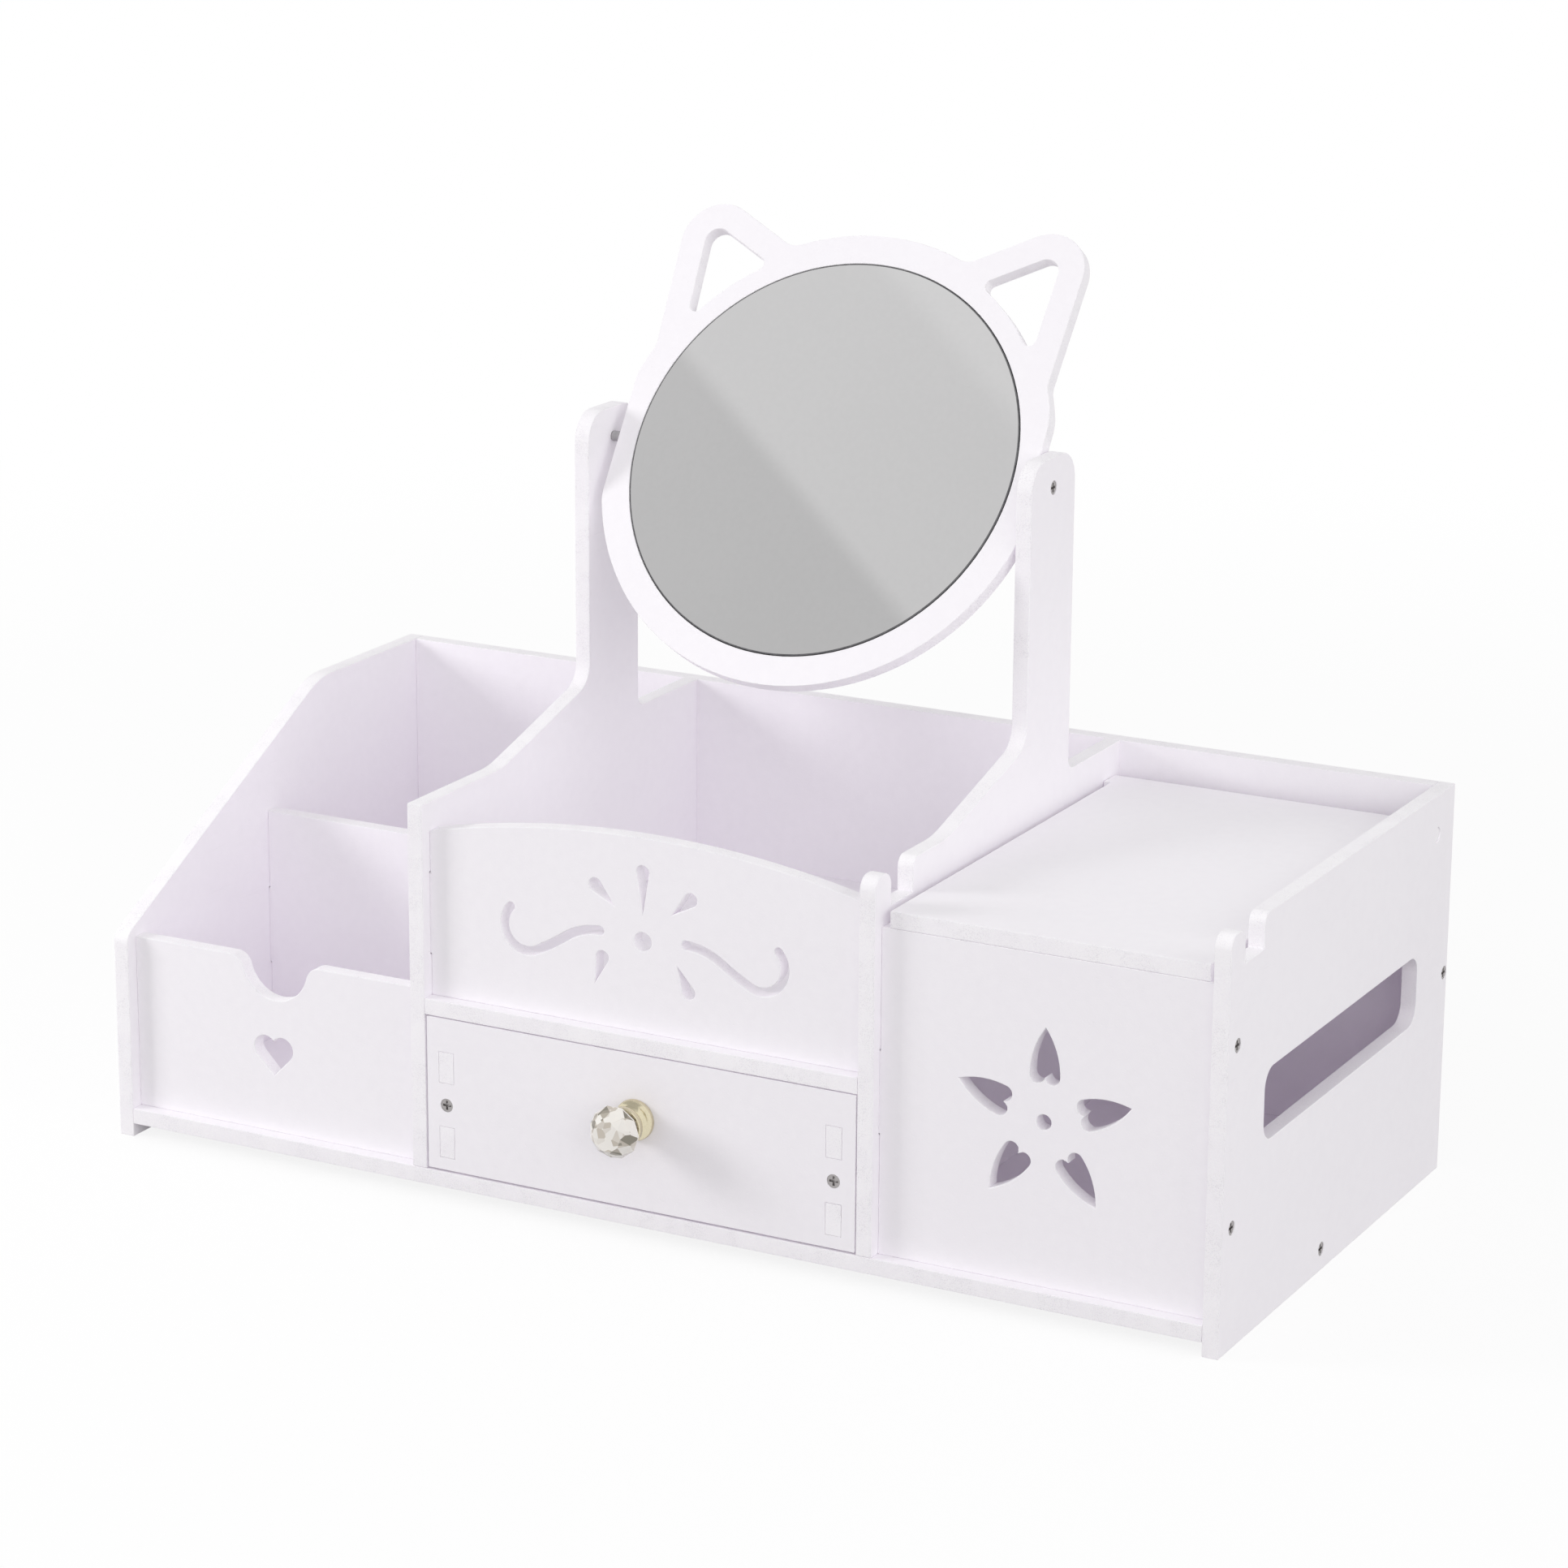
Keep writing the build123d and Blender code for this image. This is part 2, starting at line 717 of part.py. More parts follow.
def ear_opening():
    """The opening of an ear above the round frame, with its two lower corners rounded."""
    tip = Pos(ear_centre_x, ear_centre_z) * Circle(ear_radius - ear_band)
    feet = [opening_foot(ear_inner_angle, 1), opening_foot(ear_outer_angle, -1)]
    within = make_hull([*tip.edges(), *[Line((0, 0), foot) for foot in feet]])
    sill_radius = frame_radius - ear_sill
    opening = within - Circle(sill_radius)
    corners = opening.vertices().sort_by(lambda v: abs(math.hypot(v.X, v.Y) - sill_radius))[:2]
    return fillet(corners, ear_opening_radius)


def frame_outline():
    """A round board with flats at the pivots and two open ears."""
    ear = ear_outline()
    opening = ear_opening()
    round_board = Circle(frame_radius) & Rectangle(2 * frame_flat, 2 * frame_radius)
    round_board = fillet(round_board.vertices(), flat_corner_radius)
    outline = round_board + ear + mirror(ear, Plane.YZ)
    for angle in (ear_inner_angle, ear_outer_angle):
        for side in (-1, 1):
            x, z = rim_point(angle)
            root = outline.vertices().sort_by_distance((side * x, z))[0]
            outline = fillet(root, ear_root_radius)
    return outline - opening - mirror(opening, Plane.YZ)


def upright_disc(radius, near, thickness):
    """A disc across Y about the mirror's middle."""
    return facing_board(Circle(radius), near, thickness)


def make_mirror_frame():
    frame = facing_board(frame_outline(), frame_near, board)
    frame -= upright_disc(glass_radius + glass_fit, frame_near - cut_overrun, pocket_depth + cut_overrun)
    bite_depth = pivot_bite + mirror_shift + screw_fit
    bite = Cylinder(screw_hole_radius, bite_depth + cut_overrun, rotation=(0, 90, 0))
    bite_middle = frame_flat + (cut_overrun - bite_depth) / 2
    frame -= [Pos(side * bite_middle, 0, 0) * bite for side in (-1, 1)]
    return mirror_rest * frame


def make_mirror_glass():
    glass = upright_disc(glass_radius, glass_near, glass_thickness)
    rim = glass.edges().sort_by(Axis.Y)[0]
    return mirror_rest * chamfer(rim, glass_chamfer)


def make_mirror_pad():
    return mirror_rest * upright_disc(glass_radius - pad_margin, pad_near, pad_thickness)


def pivot_holes():
    """The holes in the posts that the pivot screws turn in."""
    return [sunk(*place) * screw_hole(board, screw_radius + running_fit) for place in pivot_places]


def make_pivot_spacers():
    bore = screw_radius + screw_fit
    rings = []
    for side in (-1, 1):
        length = pivot_gap - side * mirror_shift - spacer_end_gap
        middle = mirror_shift + side * (frame_flat + length / 2)
        ring = Cylinder(bore + spacer_wall, length, rotation=(0, 90, 0))
        ring -= Cylinder(bore, length + cut_overrun, rotation=(0, 90, 0))
        rings.append(Pos(middle, pivot_y, pivot_z) * ring)
    return Compound(rings)


nodes = {
    "base_board": make_base_board(),
    "back_panel": make_back_panel(),
    "left_side_panel": make_left_side_panel(),
    "right_side_panel": make_right_side_panel(),
    "left_post_panel": make_left_post_panel(),
    "right_post_panel": make_right_post_panel(),
    "left_front_panel": make_left_front_panel(),
    "left_divider": make_left_divider(),
    "centre_shelf": make_centre_shelf(),
    "centre_front_panel": make_centre_front_panel(),
    "right_front_panel": make_right_front_panel(),
    "left_side_screws": screws_at(left_side_places, screw_length),
    "right_side_screws": screws_at(right_side_places, screw_length),
    "base_screws": screws_at(base_places, screw_length),
    "back_screws": screws_at(back_places, screw_length),
    "lid": make_lid(),
    "drawer_front": make_drawer_front(),
    "drawer_left_side": make_drawer_side(-1),
    "drawer_right_side": make_drawer_side(1),
    "drawer_bottom": make_drawer_bottom(),
    "drawer_back": make_drawer_back(),
    "drawer_front_screws": screws_at(drawer_front_places, short_screw_length),
    "drawer_side_screws": screws_at(drawer_side_places, short_screw_length),
    "knob_collar": make_knob_collar(),
    "knob_crystal": make_knob_crystal(),
    "knob_screw": make_knob_screw(),
    "mirror_frame": make_mirror_frame(),
    "mirror_glass": make_mirror_glass(),
    "mirror_pad": make_mirror_pad(),
    "pivot_screws": screws_at(pivot_places, pivot_screw_length),
    "pivot_spacers": make_pivot_spacers(),
}

os.makedirs("parts", exist_ok=True)
for name, shape in nodes.items():
    export_step(shape, f"parts/{name}.step")
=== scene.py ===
import json
import math

import bmesh
import bpy
from bpy.props import FloatProperty, FloatVectorProperty, IntProperty, PointerProperty
from bpy.types import NodeSocket, Operator, Panel, PropertyGroup
from mathutils import Matrix, Vector


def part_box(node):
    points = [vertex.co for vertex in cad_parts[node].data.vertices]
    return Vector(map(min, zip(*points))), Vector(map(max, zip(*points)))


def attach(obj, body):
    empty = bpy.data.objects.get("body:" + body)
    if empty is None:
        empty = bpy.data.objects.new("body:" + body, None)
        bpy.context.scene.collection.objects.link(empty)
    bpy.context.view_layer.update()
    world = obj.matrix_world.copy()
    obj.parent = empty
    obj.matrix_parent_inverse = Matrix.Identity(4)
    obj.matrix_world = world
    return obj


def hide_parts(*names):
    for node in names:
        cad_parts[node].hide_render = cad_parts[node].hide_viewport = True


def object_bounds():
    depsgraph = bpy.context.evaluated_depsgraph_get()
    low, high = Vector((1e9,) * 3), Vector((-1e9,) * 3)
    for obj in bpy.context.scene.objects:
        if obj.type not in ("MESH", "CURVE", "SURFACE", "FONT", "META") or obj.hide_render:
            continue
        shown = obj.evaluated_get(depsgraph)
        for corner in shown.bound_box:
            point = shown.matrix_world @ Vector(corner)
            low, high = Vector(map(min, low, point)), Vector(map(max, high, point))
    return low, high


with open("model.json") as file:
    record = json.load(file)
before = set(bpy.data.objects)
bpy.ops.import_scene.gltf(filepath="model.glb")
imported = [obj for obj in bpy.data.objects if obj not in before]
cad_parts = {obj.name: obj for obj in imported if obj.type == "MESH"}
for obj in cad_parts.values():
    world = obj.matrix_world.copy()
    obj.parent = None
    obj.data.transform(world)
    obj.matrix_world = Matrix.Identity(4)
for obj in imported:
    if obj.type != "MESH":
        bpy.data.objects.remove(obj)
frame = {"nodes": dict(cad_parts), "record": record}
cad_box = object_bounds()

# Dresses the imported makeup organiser: white foam boards, a drawer with a crystal knob,
# a lidded box and a round mirror between two posts. Lengths are metres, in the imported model's frame.

bl_info = {
    "name": "Makeup organiser with mirror",
    "version": (1, 0, 0),
    "blender": (4, 5, 0),
    "location": "3D View > Sidebar > Organiser",
    "description": "Dresses the boards, drawer, knob and mirror of a makeup organiser and sets its stage",
    "category": "Object",
}

# Mesh tolerances: points closer than this are one, and edges that turn less are flat
weld_gap = 5e-6
flat_angle = math.radians(0.6)

# Sharp edges: the least turn of an edge that is rounded or shaded sharp, and of one at a thin point
crisp_angle = math.radians(40)
spike_angle = math.radians(120)

# Rounded edges: the room, in radii, that a rounding needs on a face and keeps from a thin point, its steps
# and profile, and the spacers' radius as a share of the boards'
room_share = 2.2
spike_room_share = 4.0
round_segments = 2
round_profile = 0.5
spacer_round_share = 0.25

# Cosine of the angle within which a face counts as one of the broad faces
broad_cosine = 0.99

# Profile of the knob, as shares of its length and radius
collar_shares = (
    (0.00, 0.93), (0.026, 0.985), (0.09, 1.00), (0.17, 0.985), (0.226, 0.93), (0.26, 0.80), (0.32, 0.64),
    (0.40, 0.57), (0.47, 0.56), (0.55, 0.60), (0.62, 0.72), (0.70, 0.86), (0.79, 0.92), (0.88, 0.933),
    (0.965, 0.92), (1.00, 0.87), (1.00, 0.80), (0.975, 0.757), (0.783, 0.757))
crystal_seat_shares = ((0.00, 0.56), (0.145, 0.56))
crystal_facet_shares = ((0.18, 0.53), (0.37, 0.80), (0.545, 1.00))
crystal_crown_shares = ((0.585, 1.00), (0.80, 0.86), (1.00, 0.58))

# How far each of the crystal's rings is turned, as shares of one side
crystal_seat_turns = (0.0, 0.0)
crystal_facet_turns = (0.0, 0.5, 1.0)
crystal_crown_turns = (1.0, 1.5, 2.0)

# Tones of the crystal's facets, which pick each facet's painted reflection of light or shade: the attribute
# that holds them, how many there are, and the step from one facet to the next
facet_tone = "facet_tone"
facet_tone_count = 11
facet_tone_step = 7

# Soft mottle: how much finer its grain is than its clouds, the detail in each, and where their sum turns
grain_fineness = 23.0
cloud_detail = 3.0
grain_detail = 2.0
mottle_turn = (0.75, 1.25)

# Foam pores: where a cell's wall starts and ends, and the size, turn and least density of the denser patches
pore_wall = (0.16, 0.40)
patch_share = 0.06
patch_turn = (0.40, 0.62)
patch_densities = (0.25, 1.0)

# Handling marks: the smudges' scale, detail and turn, and the hairlines' stretch and turn
smudge_scale = 26.0
smudge_detail = 4.0
smudge_turn = (0.45, 0.72)
hairline_stretch = (1400.0, 60.0, 900.0)
hairline_turn = (0.70, 0.76)

# How far smudges and hairlines roughen each finish
film_marks = (0.07, 0.06)
steel_marks = (0.12, 0.20)
gold_marks = (0.10, 0.05)
crystal_marks = (0.03, 0.02)
silver_marks = (0.02, 0.01)
rim_marks = (0.15, 0.20)

# Roughness of each finish, or its two ends where a pattern varies it
cut_roughness = (0.58, 0.75)
steel_roughness = 0.36
gold_roughness = 0.10
crystal_roughness = 0.0
spacer_roughness = (0.45, 0.60)
silver_roughness = 0.012
rim_roughness = 0.22
bond_roughness = (0.70, 0.90)
floor_roughness = 0.8

# Scale of the pattern in each finish, per metre
film_cloud_scale = 11.0
film_peel_scale = 1300.0
cut_mottle_scale = 60.0
cut_pore_scale = 2100.0
steel_mottle_scale = 420.0
gold_mottle_scale = 160.0
# The crystal's scale is that of its painted glints
crystal_painted_glint_scale = 330.0
spacer_mottle_scale = 500.0
silver_mottle_scale = 18.0
rim_mottle_scale = 300.0
bond_pore_scale = 1500.0
floor_mottle_scale = 2.0

# Depth of the relief in each finish
film_relief = 0.00003
cut_relief = 0.00006
steel_relief = 0.00004
gold_relief = 0.00001
rim_relief = 0.00002
bond_relief = 0.0001

# Second tone of each finish, as a share of its first
steel_worn_share = 1.7
gold_deep_share = 0.88
spacer_dust_share = 1.2
silver_dim_share = 0.985
rim_ground_share = 1.5
# The bond's second tone is painted shade in its bubble hollows
bond_hollow_shade_share = 0.6
floor_dim_share = 0.96

# Crystal: the weights of facet tones and painted glints in its painted reflections, where these turn from
# painted shade to painted half shade and painted highlight, and its refraction
facet_weight = 0.4
painted_glint_weight = 0.6
crystal_painted_half_shade_turn = (0.18, 0.34)
crystal_painted_highlight_turn = (0.38, 0.50)
crystal_ior = 1.52

# Grey card: where its lower border, its upper border and its sides change, in metres, and their tones
card_low_turn = (-0.036, -0.018)
card_low_tones = (0.575, 0.680)
card_high_turn = (0.108, 0.132)
card_high_tones = (0.0, 0.055)
card_side_turn = (-0.13, 0.13)
card_side_tones = (0.98, 1.045)
card_tint = (1.0, 0.993, 0.997)

plain_white = (1.0, 1.0, 1.0)

# Sockets of a colour mix, by number, because the node has several of each name
mix_factor = 0
mix_first = 6
mix_second = 7
mix_result = 2

# Which body carries each node, and which slot of the record it takes its finish from
body_of = {node: body for body, nodes in frame["record"]["behaviour"]["bodies"].items() for node in nodes}
slot_of = {part["node"]: part["material_slot"] for part in frame["record"]["subparts"]}


# Settings

def length(name, description, default):
    """A length in metres."""
    return FloatProperty(name=name, description=description, default=default, unit="LENGTH", precision=5)


def angle(name, description, degrees):
    """An angle, given in degrees and kept in radians."""
    return FloatProperty(name=name, description=description, default=math.radians(degrees), subtype="ANGLE")


def share(name, description, default):
    """A number from 0 to 1."""
    return FloatProperty(name=name, description=description, default=default, min=0, max=1, subtype="FACTOR")


def power(name, description, default):
    """The power of a lamp."""
    return FloatProperty(name=name, description=description, default=default, min=0, unit="POWER")


def colour(name, description, default):
    """A linear colour."""
    return FloatVectorProperty(
        name=name, description=description, default=default, min=0, max=1, subtype="COLOR")


def place(name, description, default):
    """A point in the model's frame."""
    return FloatVectorProperty(name=name, description=description, default=default, subtype="TRANSLATION")


class BoardLook(PropertyGroup):
    """White foam board with a smooth film on its faces and bare foam at its cut edges."""
    edge_round: length("Edge rounding", "Radius that the cut leaves along each edge of a board", 0.0004)
    drawer_edge_round: length(
        "Drawer edge rounding", "Radius along the edges of the drawer's boards, which fit more closely",
        0.00015)
    film_colour: colour("Film colour", "Main colour of a board's faces", (0.935, 0.911, 0.945))
    cloud_colour: colour("Cloud colour", "Second tone of the faint clouds in the film", (0.923, 0.898, 0.934))
    cut_colour: colour("Cut colour", "Main colour of the cut edges", (0.960, 0.942, 0.964))
    # The pore colour is painted shade in the open pores of the cut edges
    pore_painted_shade: colour("Pore colour", "Colour in the open pores of the cut edges", (0.84, 0.815, 0.86))
    film_roughness: share("Film roughness", "Roughness of the faces where nothing has touched them", 0.5)


class FittingLook(PropertyGroup):
    """Screws, pivots and the knob."""
    steel_colour: colour("Steel colour", "Colour of the screws", (0.22, 0.215, 0.22))
    gold_colour: colour("Gold colour", "Colour of the knob's collar", (0.76, 0.69, 0.50))
    # The crystal's three colours are painted reflections on its facets: a painted highlight, a painted half
    # shade and a painted shade
    crystal_painted_highlight: colour("Crystal light", "Colour of the facets that throw back light", (0.98, 0.95, 0.90))
    crystal_painted_half_shade: colour("Crystal grey", "Colour of the facets that lie in half light", (0.66, 0.60, 0.52))
    crystal_painted_shade: colour("Crystal deep", "Colour of the facets that look into the dark", (0.27, 0.25, 0.20))
    crystal_clear: share("Crystal clearness", "How far the crystal lets light through", 0.15)
    spacer_colour: colour("Spacer colour", "Colour of the pivot spacers", (0.36, 0.35, 0.36))
    crystal_sides: IntProperty(
        name="Crystal sides", description="Facets round the crystal", default=10, min=6)
    collar_sides: IntProperty(
        name="Collar sides", description="Facets round the collar", default=64, min=16)


class MirrorLook(PropertyGroup):
    """The mirror's glass and the film that bonds it."""
    silver_colour: colour("Silver colour", "Colour of the silvered face", (0.85, 0.85, 0.85))
    rim_colour: colour("Rim colour", "Colour of the ground edge of the glass", (0.10, 0.10, 0.104))
    bond_colour: colour("Bond colour", "Colour of the film that bonds the glass", (0.25, 0.25, 0.26))


class StageLook(PropertyGroup):
    """Camera, lamps and floor."""
    camera_azimuth: angle("Camera azimuth", "Turn of the camera to the right of the front", 28.0)
    camera_elevation: angle("Camera elevation", "Height of the camera above the horizon", 16.09)
    camera_roll: angle("Camera roll", "Roll of the camera about its own axis", 0.37)
    camera_distance: length("Camera distance", "From the camera to the point it looks at", 1.68745)
    camera_target: place("Camera target", "Point that the camera looks at", (0.00441, 0.00781, 0.1415))
    camera_lens: FloatProperty(name="Lens", description="Focal length", default=108.05, unit="CAMERA")
    floor_size: length("Floor size", "Side of the square floor", 16.0)
    floor_colour: colour("Floor colour", "Colour of the floor where it is seen", (0.95, 0.95, 0.95))
    bounce_colour: colour(
        "Bounce colour", "Colour that the floor throws back on the object", (0.56, 0.55, 0.56))
    floor_white: share(
        "Floor white", "How far the floor by the object shows as plain white, not as lit", 0.85)
    shadow_reach: length(
        "Shadow reach", "From the middle to where the floor starts to turn plain white", 0.45)
    white_reach: length("White reach", "From the middle to where the floor is plain white", 1.30)
    ambient: share("Ambient", "Even light from all round", 0.70)
    light_bounces: IntProperty(
        name="Light bounces", description="How often light passes between the white boards",
        default=24, min=4)
    lamp_aim: place("Lamp aim", "Point that the lamps look at", (0.0, 0.0, 0.10))
    key_place: place("Key place", "Where the small lamp at the left stands", (-1.30, -0.70, 0.60))
    key_side: length("Key side", "Side of the small lamp at the left", 0.5)
    key_power: power("Key power", "Power of the small lamp at the left", 8.8)
    front_place: place("Front place", "Where the broad lamp in front stands", (1.30, -1.80, 1.00))
    front_side: length("Front side", "Side of the broad lamp in front", 1.4)
    front_power: power("Front power", "Power of the broad lamp in front", 8.2)
    fill_place: place("Fill place", "Where the broad lamp at the right stands", (2.00, -0.40, 0.90))
    fill_side: length("Fill side", "Side of the broad lamp at the right", 1.4)
    fill_power: power("Fill power", "Power of the broad lamp at the right", 9.0)
    card_distance: length("Card distance", "From the mirror to the grey card that it reflects", 1.6)
    card_size: length("Card size", "Side of the grey card", 2.4)
    card_turn: angle("Card turn", "Slope of the bands on the card", 13.0)


class OrganiserSettings(PropertyGroup):
    """All that can be set."""
    board: PointerProperty(type=BoardLook)
    fitting: PointerProperty(type=FittingLook)
    mirror: PointerProperty(type=MirrorLook)
    stage: PointerProperty(type=StageLook)


# Node trees

def feed(tree, socket, value):
    """Link an input to another node's output, or set it to a fixed value."""
    if isinstance(value, NodeSocket):
        tree.links.new(value, socket)
    else:
        socket.default_value = value


def put(tree, kind, values, **options):
    """A new node with its options, and its inputs by name or number."""
    node = tree.nodes.new(kind)
    for name, value in options.items():
        setattr(node, name, value)
    for key, value in values.items():
        feed(tree, node.inputs[key], value)
    return node


def opaque(tone):
    """A colour with full alpha."""
    return (*tone, 1.0)


def toned(tone, amount):
    """A colour made darker or paler, up to full white."""
    return [min(1.0, part * amount) for part in tone]


def noise(tree, where, scale, detail=2.0):
    """Soft noise, as a value about one half."""
    return put(tree, "ShaderNodeTexNoise", {"Vector": where, "Scale": scale, "Detail": detail}).outputs[0]


def maths(tree, operation, first, second):
    """Two values joined by a sum, product or other operation."""
    return put(tree, "ShaderNodeMath", {0: first, 1: second}, operation=operation).outputs[0]


def remap(tree, value, low, high, low_to=0.0, high_to=1.0):
    """A value eased from one range to another."""
    values = {"Value": value, "From Min": low, "From Max": high, "To Min": low_to, "To Max": high_to}
    return put(tree, "ShaderNodeMapRange", values, interpolation_type="SMOOTHSTEP").outputs[0]


def mixed(tree, factor, first, second):
    """Two colours mixed by a mask."""
    values = {mix_factor: factor, mix_first: first, mix_second: second}
    return put(tree, "ShaderNodeMix", values, data_type="RGBA").outputs[mix_result]


def stretched(tree, where, scales):
    """Coordinates stretched along each axis."""
    return put(tree, "ShaderNodeVectorMath", {0: where, 1: scales}, operation="MULTIPLY").outputs[0]


def surface_place(tree):
    """A point's place in its own object, which moves with the piece."""
    return tree.nodes.new("ShaderNodeTexCoord").outputs["Object"]


def bumped(tree, height, depth):
    """A normal for a relief of the given depth."""
    values = {"Strength": 1.0, "Distance": depth, "Height": height}
    return put(tree, "ShaderNodeBump", values).outputs["Normal"]


def node_group(name, inputs, outputs, wire):
    """A shader node group, built on first use."""
    group = bpy.data.node_groups.get(name)
    if group is None:
        group = bpy.data.node_groups.new(name, "ShaderNodeTree")
        for label, kind in inputs.items():
            group.interface.new_socket(label, in_out="INPUT", socket_type=kind)
        for label, kind in outputs.items():
            group.interface.new_socket(label, in_out="OUTPUT", socket_type=kind)
        wire(group, group.nodes.new("NodeGroupInput").outputs, group.nodes.new("NodeGroupOutput").inputs)
    return group


def wire_soft_mottle(tree, given, result):
    """Broad clouds with a finer grain in them, as a mask and as two mixed colours."""
    fine_scale = maths(tree, "MULTIPLY", given["Scale"], grain_fineness)
    broad = noise(tree, given["Place"], given["Scale"], cloud_detail)
    fine = noise(tree, given["Place"], fine_scale, grain_detail)
    mask = remap(tree, maths(tree, "ADD", broad, fine), *mottle_turn)
    feed(tree, result["Mask"], mask)
    feed(tree, result["Colour"], mixed(tree, mask, given["Colour"], given["Second Colour"]))


def wire_foam_pores(tree, given, result):
    """Small open cells, denser in some places than in others."""
    cells = put(tree, "ShaderNodeTexVoronoi", {"Vector": given["Place"], "Scale": given["Scale"]})
    open_cells = remap(tree, cells.outputs["Distance"], *pore_wall, 1.0, 0.0)
    patch_scale = maths(tree, "MULTIPLY", given["Scale"], patch_share)
    patches = remap(tree, noise(tree, given["Place"], patch_scale), *patch_turn, *patch_densities)
    pores = maths(tree, "MULTIPLY", open_cells, patches)
    feed(tree, result["Pores"], pores)
    feed(tree, result["Height"], maths(tree, "SUBTRACT", 1.0, pores))


def wire_handling_marks(tree, given, result):
    """Faint smudges, and hairlines that run one way, as a roughness and a relief."""
    smudges = remap(tree, noise(tree, given["Place"], smudge_scale, smudge_detail), *smudge_turn)
    along = stretched(tree, given["Place"], hairline_stretch)
    hairlines = remap(tree, noise(tree, along, scale=1.0, detail=1.0), *hairline_turn)
    smudged = maths(tree, "MULTIPLY", smudges, given["Smudge"])
    scratched = maths(tree, "MULTIPLY", hairlines, given["Scratch"])
    marks = maths(tree, "ADD", smudged, scratched)
    feed(tree, result["Roughness"], maths(tree, "ADD", given["Roughness"], marks))
    feed(tree, result["Height"], maths(tree, "SUBTRACT", 1.0, hairlines))


def soft_mottle():
    """The group that clouds a colour."""
    inputs = {"Place": "NodeSocketVector", "Scale": "NodeSocketFloat", "Colour": "NodeSocketColor",
              "Second Colour": "NodeSocketColor"}
    outputs = {"Colour": "NodeSocketColor", "Mask": "NodeSocketFloat"}
    return node_group("Soft mottle", inputs, outputs, wire_soft_mottle)


def foam_pores():
    """The group that opens small cells in a cut surface."""
    inputs = {"Place": "NodeSocketVector", "Scale": "NodeSocketFloat"}
    outputs = {"Pores": "NodeSocketFloat", "Height": "NodeSocketFloat"}
    return node_group("Foam pores", inputs, outputs, wire_foam_pores)


def handling_marks():
    """The group that smudges and scratches a finish."""
    inputs = {"Place": "NodeSocketVector", "Roughness": "NodeSocketFloat", "Smudge": "NodeSocketFloat",
              "Scratch": "NodeSocketFloat"}
    outputs = {"Roughness": "NodeSocketFloat", "Height": "NodeSocketFloat"}
    return node_group("Handling marks", inputs, outputs, wire_handling_marks)


def mottle_at(tree, where, scale, first, second):
    """The mottle group with its own values."""
    values = {"Place": where, "Scale": scale, "Colour": opaque(first), "Second Colour": opaque(second)}
    return put(tree, "ShaderNodeGroup", values, node_tree=soft_mottle()).outputs


def pores_at(tree, where, scale):
    """The pore group with its own scale."""
    return put(tree, "ShaderNodeGroup", {"Place": where, "Scale": scale}, node_tree=foam_pores()).outputs


def marks_at(tree, where, roughness, smudge, scratch):
    """The handling group with its own values."""
    values = {"Place": where, "Roughness": roughness, "Smudge": smudge, "Scratch": scratch}
    return put(tree, "ShaderNodeGroup", values, node_tree=handling_marks()).outputs


# Materials

def finish_named(name, paint):
    """The material of that name, painted on first use."""
    material = bpy.data.materials.get(name)
    if material is None:
        material = bpy.data.materials.new(name)
        material.use_nodes = True
        tree = material.node_tree
        paint(tree, tree.nodes["Principled BSDF"].inputs)
    return material


def settings():
    """The scene's settings."""
    return bpy.context.scene.organiser


def paint_board_film(tree, surface):
    """Smooth film with faint clouds, a very fine peel and a few marks from handling."""
    look = settings().board
    where = surface_place(tree)
    mottle = mottle_at(tree, where, film_cloud_scale, look.film_colour, look.cloud_colour)
    marks = marks_at(tree, where, look.film_roughness, *film_marks)
    peel = noise(tree, where, film_peel_scale, detail=1.0)
    relief = maths(tree, "ADD", peel, marks["Height"])
    feed(tree, surface["Base Color"], mottle["Colour"])
    feed(tree, surface["Roughness"], marks["Roughness"])
    feed(tree, surface["Normal"], bumped(tree, relief, film_relief))


def paint_cut_edge(tree, surface):
    """Bare foam at a cut edge, a little paler, with open pores whose colour is darkened with painted shade.
    """
    look = settings().board
    where = surface_place(tree)
    mottle = mottle_at(tree, where, cut_mottle_scale, look.cut_colour, look.film_colour)
    pores = pores_at(tree, where, cut_pore_scale)
    feed(tree, surface["Base Color"], mixed(tree, pores["Pores"], mottle["Colour"], opaque(look.pore_painted_shade)))
    feed(tree, surface["Roughness"], remap(tree, pores["Pores"], 0.0, 1.0, *cut_roughness))
    feed(tree, surface["Normal"], bumped(tree, pores["Height"], cut_relief))


def paint_screw_steel(tree, surface):
    """Dark plated steel with fine turning marks."""
    where = surface_place(tree)
    tone = settings().fitting.steel_colour
    mottle = mottle_at(tree, where, steel_mottle_scale, tone, toned(tone, steel_worn_share))
    marks = marks_at(tree, where, steel_roughness, *steel_marks)
    feed(tree, surface["Base Color"], mottle["Colour"])
    surface["Metallic"].default_value = 1.0
    feed(tree, surface["Roughness"], marks["Roughness"])
    feed(tree, surface["Normal"], bumped(tree, marks["Height"], steel_relief))


def paint_gold(tree, surface):
    """Polished gold plating with faint smudges."""
    where = surface_place(tree)
    tone = settings().fitting.gold_colour
    mottle = mottle_at(tree, where, gold_mottle_scale, tone, toned(tone, gold_deep_share))
    marks = marks_at(tree, where, gold_roughness, *gold_marks)
    feed(tree, surface["Base Color"], mottle["Colour"])
    surface["Metallic"].default_value = 1.0
    feed(tree, surface["Roughness"], marks["Roughness"])
    feed(tree, surface["Normal"], bumped(tree, marks["Height"], gold_relief))


